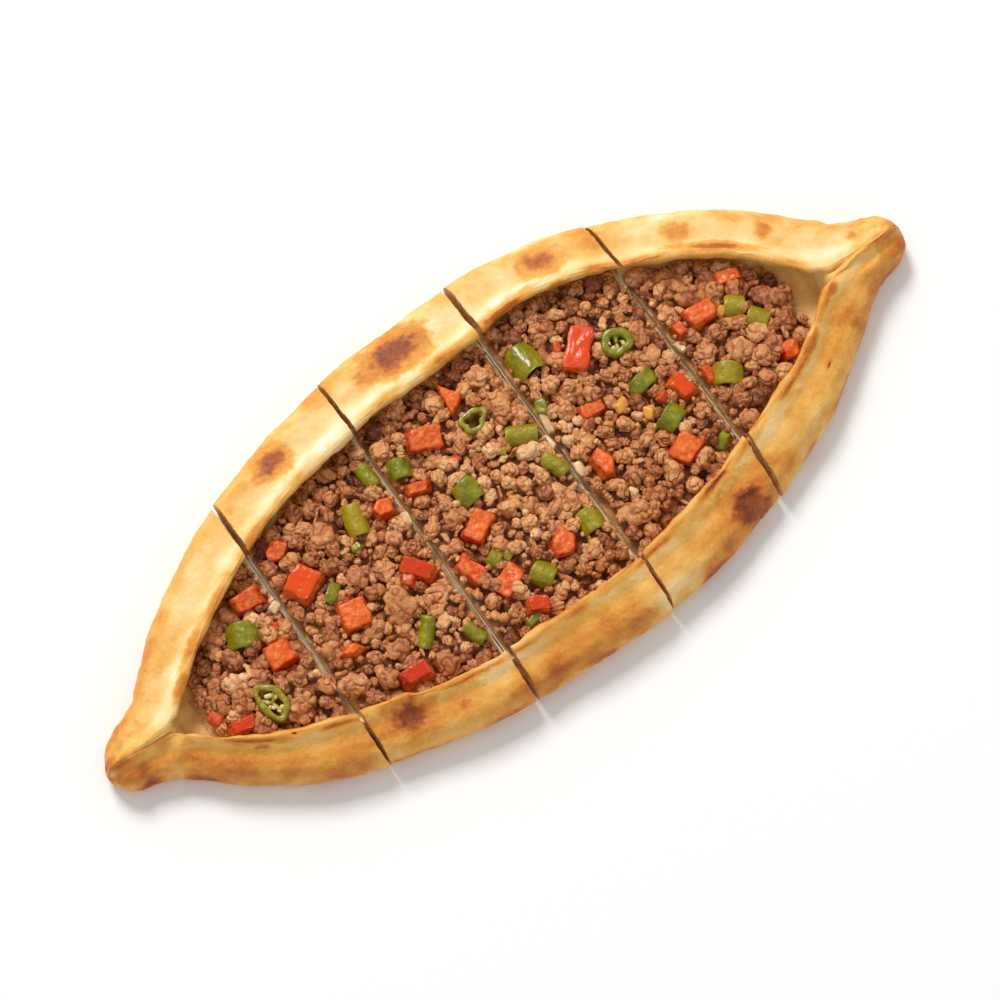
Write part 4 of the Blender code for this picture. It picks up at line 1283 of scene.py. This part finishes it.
def pod(start, end, radius, rows=9, columns=10):
    """A small tapered rod from start to end, with closed round ends: circles whose radius follows an
    ellipse."""
    start, end = np.array(start, float), np.array(end, float)
    axis = end - start
    length = np.linalg.norm(axis)
    axis /= length
    side = np.cross(axis, (0.0, 0.0, 1.0) if abs(axis[2]) < 0.9 else (1.0, 0.0, 0.0))
    side /= np.linalg.norm(side)
    other = np.cross(axis, side)
    share = (1.0 - np.cos(np.linspace(0.0, math.pi, rows + 2)[1:-1])) / 2
    swell = np.sqrt(1.0 - (2 * share - 1.0) ** 2) ** 0.6
    turn = np.linspace(0.0, 2 * math.pi, columns, endpoint=False)
    circle = np.cos(turn)[:, None] * side + np.sin(turn)[:, None] * other
    grid = start + share[:, None, None] * length * axis + circle[None] * (swell * radius)[:, None, None]
    points = np.vstack([grid.reshape(-1, 3), start, end])
    first, last = len(points) - 2, len(points) - 1
    ring = np.arange(columns)
    back = (rows - 1) * columns + ring
    faces = [
        grid_faces(rows, columns, closed=True),
        np.stack([np.roll(ring, -1), ring, np.full(columns, first)], -1),
        np.stack([back, np.roll(back, -1), np.full(columns, last)], -1),
    ]
    return points, faces


def joined(parts):
    """Joins several (points, faces) into one pair."""
    points = []
    faces = []
    total = 0
    for own_points, own_faces in parts:
        points.append(own_points)
        faces.extend(group + total for group in own_faces)
        total += len(own_points)
    return np.vstack(points), faces


def make_ring(node, material, seed_material):
    """A slice across a pepper: its wall, the pale membranes that cross it, and seeds clinging to them."""
    turn, wave, membranes, tone, wall = PEPPER_RINGS[node]
    centre, size, angle = lie(node, turn)
    seed = int(node[-2:])
    grid, skin = ring_wall(size[0], size[1], size[2], wave, wall * MM, seed)
    grid += 0.2 * MM * np.stack([layered(grid, 3 * MM, 80 + seed + k) for k in range(3)], -1)
    parts = [(grid.reshape(-1, 3), [wrap_faces(*grid.shape[:2])])]
    for k in range(membranes):
        way = 2 * math.pi * (k + 0.3) / membranes + 0.4
        x, y = math.cos(way) * (size[0] / 2 - 1.2 * MM), math.sin(way) * (size[1] / 2 - 1.2 * MM)
        parts.append(pod((0.0, 0.0, -0.1 * size[2]), (x, y, 0.05 * size[2]), 0.95 * MM))
    points, faces = joined(parts)
    count = grid.shape[0] * grid.shape[1]
    shown = np.zeros(len(points))
    shown[:count] = skin
    pith = np.ones(len(points))
    pith[:count] = 0.0
    fields = {"skin": shown, "tone": np.full(len(points), tone), "pith": pith}
    mesh = make_mesh(node, stand(points, centre, angle), faces, fields)
    show(node.replace("pepper", "pepper_ring"), mesh, material, [node])
    seeds = []
    for k in range(3 * membranes):
        way = random.uniform(0.0, 2 * math.pi)
        out = random.uniform(0.25, 0.62)
        x, y = math.cos(way) * size[0] / 2 * out, math.sin(way) * size[1] / 2 * out
        place = np.array([x, y, 0.2 * size[2]])
        lean = random.normal(0.0, 1.0, 3) * np.array([1.3, 1.3, 0.4]) * MM
        seeds.append(pod(place - lean / 2, place + lean / 2, 0.95 * MM, 5, 8))
    if seeds:
        points, faces = joined(seeds)
        mesh = make_mesh(node + "_seeds", stand(points, centre, angle), faces)
        show(node.replace("pepper", "pepper_seeds"), mesh, seed_material)


def make_bits(name, bits, material, fields):
    """Small cut bits of one kind, as one piece: soft-cornered blocks that lie half sunk in the mince."""
    parts = []
    directions, triangles, _ = ball(4)
    for x, y, length, width, height, turn in bits:
        reach, _ = soft_block(directions, 4, 0.85, 6.0)
        points = directions * reach[:, None]
        points *= np.array([length, width, height]) * MM / 2
        points *= (1.0 + 0.12 * noise(points, 2.2 * MM, len(parts)))[:, None]
        place = np.array([x, y, 0.0]) * MM
        place[2] = mince_height(place[0], place[1]) + 0.2 * MM - 1.2 * MM * float(near_knife(place[0]))
        tilt = random.normal(0.0, 0.2, 2)
        moved = stand(points, place, math.radians(turn), tilt)
        parts.append((to_frame(moved, slice_at(place[0])), [triangles]))
    points, faces = joined(parts)
    values = {field: np.full(len(points), value) for field, value in fields.items()}
    mesh = make_mesh(name, points, faces, values)
    return show(name, mesh, material)


# ------------------------------------------------------------------------------------------
# Materials


def new_group(name, inputs, outputs):
    """A shader node group with named inputs and outputs. Inputs are (name, kind, value), outputs (name,
    kind)."""
    tree = bpy.data.node_groups.new(name, "ShaderNodeTree")
    for label, kind, value in inputs:
        socket = tree.interface.new_socket(name=label, in_out="INPUT", socket_type=kind)
        socket.default_value = value
    for label, kind in outputs:
        tree.interface.new_socket(name=label, in_out="OUTPUT", socket_type=kind)
    return tree, tree.nodes.new("NodeGroupInput"), tree.nodes.new("NodeGroupOutput")


def node(tree, kind, links=None, **settings):
    """Adds a node, sets its properties, and fills its inputs by name or number from values or other
    sockets."""
    made = tree.nodes.new(kind)
    for name, value in settings.items():
        setattr(made, name, value)
    for name, value in (links or {}).items():
        if isinstance(value, bpy.types.NodeSocket):
            tree.links.new(value, made.inputs[name])
        else:
            made.inputs[name].default_value = value
    return made


def math_node(tree, operation, a, b=0.5, clamp=False):
    """One sum on two values, and its result."""
    made = node(tree, "ShaderNodeMath", {0: a, 1: b}, operation=operation, use_clamp=clamp)
    return made.outputs[0]


def mix_colour(tree, factor, a, b, blend="MIX"):
    """Mixes two colours, and gives the result."""
    made = node(tree, "ShaderNodeMix", data_type="RGBA", blend_type=blend)
    for socket, value in ((made.inputs[0], factor), (made.inputs[6], a), (made.inputs[7], b)):
        if isinstance(value, bpy.types.NodeSocket):
            tree.links.new(value, socket)
        else:
            socket.default_value = value
    return made.outputs[2]


def field(tree, name):
    """The value of a mesh's own float field."""
    return node(tree, "ShaderNodeAttribute", attribute_name=name).outputs["Fac"]


def noise_value(tree, size, detail=3.0, roughness=0.55, distortion=0.0):
    """Noise from about 0.2 to 0.8 on Object coordinates, with features of the given size in metres."""
    place = node(tree, "ShaderNodeTexCoord").outputs["Object"]
    links = {"Vector": place, "Detail": detail, "Roughness": roughness, "Distortion": distortion}
    if isinstance(size, bpy.types.NodeSocket):
        links["Scale"] = math_node(tree, "DIVIDE", 1.0, size)
    else:
        links["Scale"] = 1.0 / size
    return node(tree, "ShaderNodeTexNoise", links).outputs["Fac"]


def linear(red, green, blue):
    """A colour given as it is seen on a screen, from 0 to 255, as the values that light works with."""
    seen = np.array([red, green, blue]) / 255.0
    light = np.where(seen <= 0.04045, seen / 12.92, ((seen + 0.055) / 1.055) ** 2.4)
    return (*light, 1.0)


def use_group(tree, group, output, **values):
    """Places a node group in a tree, fed with values or other sockets, and gives one of its outputs."""
    links = {name.replace("_", " "): value for name, value in values.items()}
    return node(tree, "ShaderNodeGroup", links, node_tree=group).outputs[output]


def mottle_group():
    """Mottle: two colours mixed in soft patches of a given size, with finer patches inside them."""
    tree, given, result = new_group(
        "mottle",
        [
            ("Colour", "NodeSocketColor", (0.8, 0.8, 0.8, 1.0)),
            ("Patch Colour", "NodeSocketColor", (0.4, 0.4, 0.4, 1.0)),
            ("Patch Size", "NodeSocketFloat", 0.004),
            ("Amount", "NodeSocketFloat", 0.5),
        ],
        [("Colour", "NodeSocketColor"), ("Mask", "NodeSocketFloat")],
    )
    value = noise_value(tree, given.outputs["Patch Size"], 4.0, 0.6)
    ramp = node(tree, "ShaderNodeMapRange", {0: value, 1: 0.38, 2: 0.66, 3: 0.0, 4: 1.0})
    mask = math_node(tree, "MULTIPLY", ramp.outputs[0], given.outputs["Amount"])
    colour = mix_colour(tree, mask, given.outputs["Colour"], given.outputs["Patch Colour"])
    tree.links.new(colour, result.inputs["Colour"])
    tree.links.new(mask, result.inputs["Mask"])
    return tree


def grain_group():
    """Grain: the height of a surface's fine relief, a coarse and a fine noise in given shares."""
    tree, given, result = new_group(
        "grain",
        [
            ("Coarse Size", "NodeSocketFloat", 0.002),
            ("Fine Size", "NodeSocketFloat", 0.0005),
            ("Fine Share", "NodeSocketFloat", 0.4),
        ],
        [("Height", "NodeSocketFloat")],
    )
    coarse = noise_value(tree, given.outputs["Coarse Size"], 3.0, 0.5)
    fine = noise_value(tree, given.outputs["Fine Size"], 2.0, 0.5)
    added = math_node(tree, "MULTIPLY", fine, given.outputs["Fine Share"])
    tree.links.new(math_node(tree, "ADD", coarse, added), result.inputs["Height"])
    return tree


def mottled(tree, mottle, colour, patch, size, amount):
    """A colour with soft patches of another, through the mottle group."""
    values = {"Colour": colour, "Patch_Colour": patch, "Patch_Size": size, "Amount": amount}
    return use_group(tree, mottle, "Colour", **values)


def new_material(name, glow_radius, glow_scale, **values):
    """A Principled material with plain values set on its own sockets, and how far light spreads under
    its skin in red, green and blue. Returns it, its tree and its shader."""
    material = bpy.data.materials.new(name)
    material.use_nodes = True
    shader = material.node_tree.nodes["Principled BSDF"]
    shader.inputs["Subsurface Radius"].default_value = glow_radius
    shader.inputs["Subsurface Scale"].default_value = glow_scale
    for socket, value in values.items():
        shader.inputs[socket.replace("_", " ")].default_value = value
    return material, material.node_tree, shader


def add_relief(tree, shader, grain, coarse, fine, fine_share, distance, strength, share=None):
    """Gives a surface a fine relief of coarse and fine grain, all of it or the share that a socket
    gives."""
    sizes = {"Coarse_Size": coarse, "Fine_Size": fine, "Fine_Share": fine_share}
    height = use_group(tree, grain, "Height", **sizes)
    if share is not None:
        height = math_node(tree, "MULTIPLY", height, share)
    bump = node(tree, "ShaderNodeBump", {"Height": height, "Distance": distance, "Strength": strength})
    tree.links.new(bump.outputs["Normal"], shader.inputs["Normal"])


def ramp(tree, value, stops):
    """A colour ramp through (place, colour) stops."""
    made = node(tree, "ShaderNodeValToRGB", {0: value})
    elements = made.color_ramp.elements
    elements[0].position, elements[0].color = stops[0]
    elements[1].position, elements[1].color = stops[-1]
    for place, colour in stops[1:-1]:
        elements.new(place).color = colour
    return made.outputs["Color"]


def dough_material(mottle, grain):
    """Baked dough: cream to gold to dark brown by its browning, orange where oil soaked in, open crumb
    at a cut."""
    material, tree, shader = new_material(
        "baked dough",
        (0.004, 0.002, 0.001),
        0.5,
        Specular_IOR_Level=0.35,
        Subsurface_Weight=0.08,
    )
    browning = field(tree, "browning")
    fine = math_node(tree, "SUBTRACT", noise_value(tree, 1.3 * MM, 4.0, 0.65), 0.5)
    share = math_node(tree, "ADD", math_node(tree, "MULTIPLY", browning, 0.45), 0.06)
    browned = math_node(tree, "ADD", browning, math_node(tree, "MULTIPLY", fine, share), clamp=True)
    stops = [
        (0.0, linear(252, 242, 226)),
        (0.07, linear(250, 224, 172)),
        (0.17, linear(246, 206, 138)),
        (0.30, linear(236, 180, 90)),
        (0.45, linear(222, 148, 54)),
        (0.60, linear(198, 112, 34)),
        (0.80, linear(154, 72, 20)),
        (1.0, linear(90, 38, 8)),
    ]
    colour = ramp(tree, browned, stops)
    oil = field(tree, "oil")
    oiled = mottled(tree, mottle, linear(250, 212, 130), linear(218, 144, 58), 7 * MM, 0.6)
    colour = mix_colour(tree, oil, colour, oiled)
    crumb = field(tree, "crumb")
    open_crumb = mottled(tree, mottle, linear(248, 204, 142), linear(196, 128, 66), 2.2 * MM, 0.9)
    colour = mix_colour(tree, crumb, colour, open_crumb)
    tree.links.new(colour, shader.inputs["Base Color"])
    rough = node(tree, "ShaderNodeMapRange", {0: browned, 1: 0.0, 2: 1.0, 3: 0.58, 4: 0.50}).outputs[0]
    rough = math_node(tree, "SUBTRACT", rough, math_node(tree, "MULTIPLY", oil, 0.2))
    rough = math_node(tree, "ADD", rough, math_node(tree, "MULTIPLY", crumb, 0.25))
    tree.links.new(rough, shader.inputs["Roughness"])
    add_relief(tree, shader, grain, 1.6 * MM, 0.45 * MM, 0.35, 0.36 * MM, 0.9)
    return material


def meat_material(mottle, grain):
    """Browned mince: each crumb has its own depth of brown, with painted shade in its creases, and a thin
    film of fat. Where a knife has pressed it, it is smeared pale."""
    material, tree, shader = new_material(
        "browned mince",
        (0.002, 0.0008, 0.0004),
        0.5,
        Specular_IOR_Level=0.5,
        Subsurface_Weight=0.05,
    )
    painted_shade = field(tree, "painted_shade")
    fine = math_node(tree, "SUBTRACT", noise_value(tree, 2.0 * MM, 4.0, 0.62), 0.5)
    value = math_node(tree, "ADD", math_node(tree, "MULTIPLY", field(tree, "tint"), 0.24), 0.72)
    value = math_node(tree, "ADD", value, math_node(tree, "MULTIPLY", fine, 0.75))
    # Painted shade: the crease field darkens each crumb in its creases and in the gaps of the bed.
    value = math_node(tree, "SUBTRACT", value, math_node(tree, "MULTIPLY", painted_shade, 0.48), clamp=True)
    stops = [
        (0.0, linear(62, 10, 0)),
        (0.25, linear(144, 72, 22)),
        (0.50, linear(206, 134, 74)),
        (0.75, linear(244, 180, 114)),
        (1.0, linear(252, 210, 154)),
    ]
    colour = ramp(tree, value, stops)
    tinted = mottled(tree, mottle, colour, linear(184, 96, 36), 6 * MM, 0.35)
    pinked = mottled(tree, mottle, tinted, linear(214, 134, 98), 11 * MM, 0.30)
    smeared = mottled(tree, mottle, linear(246, 210, 146), linear(206, 138, 68), 3 * MM, 0.7)
    colour = mix_colour(tree, field(tree, "smear"), pinked, smeared)
    tree.links.new(colour, shader.inputs["Base Color"])
    wet = noise_value(tree, 3.5 * MM, 2.0, 0.5)
    rough = node(tree, "ShaderNodeMapRange", {0: wet, 1: 0.35, 2: 0.65, 3: 0.19, 4: 0.44}).outputs[0]
    tree.links.new(rough, shader.inputs["Roughness"])
    add_relief(tree, shader, grain, 1.5 * MM, 0.5 * MM, 0.5, 0.90 * MM, 1.0)
    return material


def tomato_material(mottle, grain):
    """Cooked tomato: smooth deep skin on one side, and wet pulp with pale veins on the cut sides."""
    material, tree, shader = new_material(
        "tomato",
        (0.004, 0.001, 0.0005),
        0.5,
        Specular_IOR_Level=0.28,
        Subsurface_Weight=0.08,
        Coat_Weight=0.16,
        Coat_Roughness=0.12,
    )
    tone = field(tree, "tone")
    skin = field(tree, "skin")
    pulp = mix_colour(tree, tone, linear(182, 30, 0), linear(234, 94, 14))
    veined = mottled(tree, mottle, pulp, linear(250, 146, 62), 2.2 * MM, 0.62)
    skin_colour = mix_colour(tree, tone, linear(184, 26, 2), linear(226, 74, 6))
    colour = mix_colour(tree, skin, veined, skin_colour)
    rim = math_node(tree, "MULTIPLY", field(tree, "edge"), 0.35)
    colour = mix_colour(tree, rim, colour, linear(190, 38, 6))
    tree.links.new(colour, shader.inputs["Base Color"])
    rough = math_node(tree, "SUBTRACT", 0.32, math_node(tree, "MULTIPLY", skin, 0.12))
    tree.links.new(rough, shader.inputs["Roughness"])
    off_skin = math_node(tree, "SUBTRACT", 1.0, math_node(tree, "MULTIPLY", skin, 0.75))
    add_relief(tree, shader, grain, 1.4 * MM, 0.5 * MM, 0.4, 0.55 * MM, 0.9, off_skin)
    return material


def pepper_material(mottle, grain):
    """Cooked green pepper: glossy skin from fresh green to olive, paler flesh at the cuts, pale pith
    inside."""
    material, tree, shader = new_material(
        "green pepper",
        (0.001, 0.002, 0.0004),
        0.5,
        Specular_IOR_Level=0.3,
        Subsurface_Weight=0.08,
        Coat_Weight=0.48,
        Coat_Roughness=0.10,
    )
    tone = field(tree, "tone")
    fresh = mix_colour(tree, tone, linear(104, 108, 0), linear(160, 134, 0))
    skin = field(tree, "skin")
    skin_colour = mottled(tree, mottle, fresh, linear(170, 156, 10), 4.0 * MM, 0.65)
    flesh = mix_colour(tree, tone, linear(146, 150, 20), linear(190, 164, 36))
    flesh = mix_colour(tree, field(tree, "pith"), flesh, linear(176, 168, 62))
    colour = mix_colour(tree, skin, flesh, skin_colour)
    tree.links.new(colour, shader.inputs["Base Color"])
    rough = math_node(tree, "SUBTRACT", 0.42, math_node(tree, "MULTIPLY", skin, 0.2))
    tree.links.new(rough, shader.inputs["Roughness"])
    add_relief(tree, shader, grain, 2.2 * MM, 0.6 * MM, 0.15, 0.9 * MM, 0.9)
    return material


def bit_material(name, mottle, grain, colour, patch, patch_size, roughness):
    """A small bit's material: one colour with patches of another and a fine relief."""
    values = {"Roughness": roughness, "Subsurface_Weight": 0.1}
    material, tree, shader = new_material(name, (1.0, 0.2, 0.1), 0.001, **values)
    flecked = mottled(tree, mottle, colour, patch, patch_size, 0.7)
    tree.links.new(flecked, shader.inputs["Base Color"])
    add_relief(tree, shader, grain, 1.2 * MM, 0.4 * MM, 0.3, 0.2 * MM, 0.7)
    return material


# ------------------------------------------------------------------------------------------
# Floor, light and camera


def make_floor():
    """A plain pale floor, a hair under the pide."""
    bpy.ops.mesh.primitive_plane_add(size=6.0, location=(0.0, 0.0, -0.0002))
    floor = bpy.context.object
    floor.name = "floor"
    values = {"Roughness": 0.9, "Specular_IOR_Level": 0.1}
    material, _, shader = new_material("pale floor", (1.0, 0.2, 0.1), 0.05, **values)
    shader.inputs["Base Color"].default_value = (0.95, 0.95, 0.95, 1.0)
    floor.data.materials.append(material)


def aim(thing, place, target):
    """Puts a camera or light at a place, looking at a target."""
    thing.location = place
    away = np.array(place) - np.array(target)
    flat = math.hypot(away[0], away[1])
    thing.rotation_euler = (math.atan2(flat, away[2]), 0.0, math.atan2(away[0], -away[1]))


def make_light(name, direction, distance, size, power, colour):
    """A soft square light at a distance along a direction from the pide."""
    data = bpy.data.lights.new(name, "AREA")
    data.size = size
    data.energy = power
    data.color = colour
    lamp = bpy.data.objects.new(name, data)
    bpy.context.scene.collection.objects.link(lamp)
    way = np.array(direction, float)
    place = way / np.linalg.norm(way) * distance
    aim(lamp, tuple(place), (0.0, 0.0, 0.0))


def make_world(strength):
    """Even white light from all round."""
    world = bpy.data.worlds.new("studio")
    bpy.context.scene.world = world
    world.use_nodes = True
    background = world.node_tree.nodes["Background"]
    background.inputs["Color"].default_value = (1.0, 1.0, 1.0, 1.0)
    background.inputs["Strength"].default_value = strength


def make_camera():
    """Looks steeply down on the boat, which lies aslant in the frame."""
    data = bpy.data.cameras.new("camera")
    data.lens = 120.0
    data.sensor_width = 36.0
    data.clip_end = 20.0
    camera = bpy.data.objects.new("camera", data)
    bpy.context.scene.collection.objects.link(camera)
    rise = math.radians(74.0)
    distance = 1.228
    target = np.array([-0.0047, -0.0039, 0.008])
    forward = np.array([0.569, 0.822])
    place = target + distance * np.array([*(-forward * math.cos(rise)), math.sin(rise)])
    aim(camera, tuple(place), tuple(target))
    bpy.context.scene.camera = camera


# ------------------------------------------------------------------------------------------
# Everything together

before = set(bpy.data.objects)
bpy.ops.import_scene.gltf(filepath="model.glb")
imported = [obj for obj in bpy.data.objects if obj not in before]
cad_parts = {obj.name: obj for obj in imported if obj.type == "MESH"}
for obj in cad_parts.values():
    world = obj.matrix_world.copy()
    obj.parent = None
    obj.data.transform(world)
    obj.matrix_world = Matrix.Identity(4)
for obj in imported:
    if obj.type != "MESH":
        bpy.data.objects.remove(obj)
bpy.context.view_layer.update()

make_camera()
make_world(strength=0.58)
make_light("key", (0.14, 0.99, 1.10), distance=4.0, size=1.3, power=116.0, colour=(1.0, 0.98, 0.95))
make_floor()

mottle = mottle_group()
grain = grain_group()
dough = dough_material(mottle, grain)
meat = meat_material(mottle, grain)
tomato = tomato_material(mottle, grain)
pepper = pepper_material(mottle, grain)
cream, brown = linear(238, 218, 150), linear(196, 160, 84)
seed_cream = bit_material("pepper seed", mottle, grain, cream, brown, 1.0 * MM, 0.4)
amber, pale_amber = linear(222, 148, 52), linear(236, 184, 100)
orange = bit_material("pale orange pepper", mottle, grain, amber, pale_amber, 2.0 * MM, 0.35)
glassy, golden = linear(222, 190, 142), linear(188, 146, 96)
onion = bit_material("cooked onion", mottle, grain, glassy, golden, 1.6 * MM, 0.25)

footprints = {index: [] for index in range(FIRST, LAST + 1)}
for name, cut in {**TOMATO_CUTS, **PEPPER_STRIPS, **PEPPER_RINGS}.items():
    centre, size, angle = lie(name, cut[0])
    own_slice = node_slice(name)
    place = from_frame(centre, own_slice)
    turn = angle - math.radians(SLICE_TURN[own_slice - 1])
    footprints[own_slice].append((place, size[:2] / 2, turn))

for name in TOMATO_CUTS:
    make_tomato(name, tomato)
for name in PEPPER_STRIPS:
    make_strip(name, pepper)
for name in PEPPER_RINGS:
    make_ring(name, pepper, seed_cream)
make_bits("tomato_bits", TOMATO_BITS, tomato, {"skin": 0.0, "tone": 0.15, "edge": 0.6})
make_bits("pepper_bits", PEPPER_BITS, pepper, {"skin": 1.0, "tone": 0.2, "pith": 0.0})
make_bits("orange_bits", ORANGE_BITS, orange, {})
make_bits("onion_bits", ONION_BITS, onion, {})
for bits in (TOMATO_BITS, PEPPER_BITS, ORANGE_BITS, ONION_BITS):
    for x, y, length, width, _, turn in bits:
        half = np.array([length, width]) * MM / 2
        footprints[slice_at(x * MM)].append(((x * MM, y * MM), half, math.radians(turn)))
kinds = mince_kinds()
for index in range(FIRST, LAST + 1):
    make_crust(index, dough)
    make_bed(index, meat)
    make_crumbs(index, footprints[index], kinds, meat)

bpy.context.scene.view_settings.view_transform = "Standard"
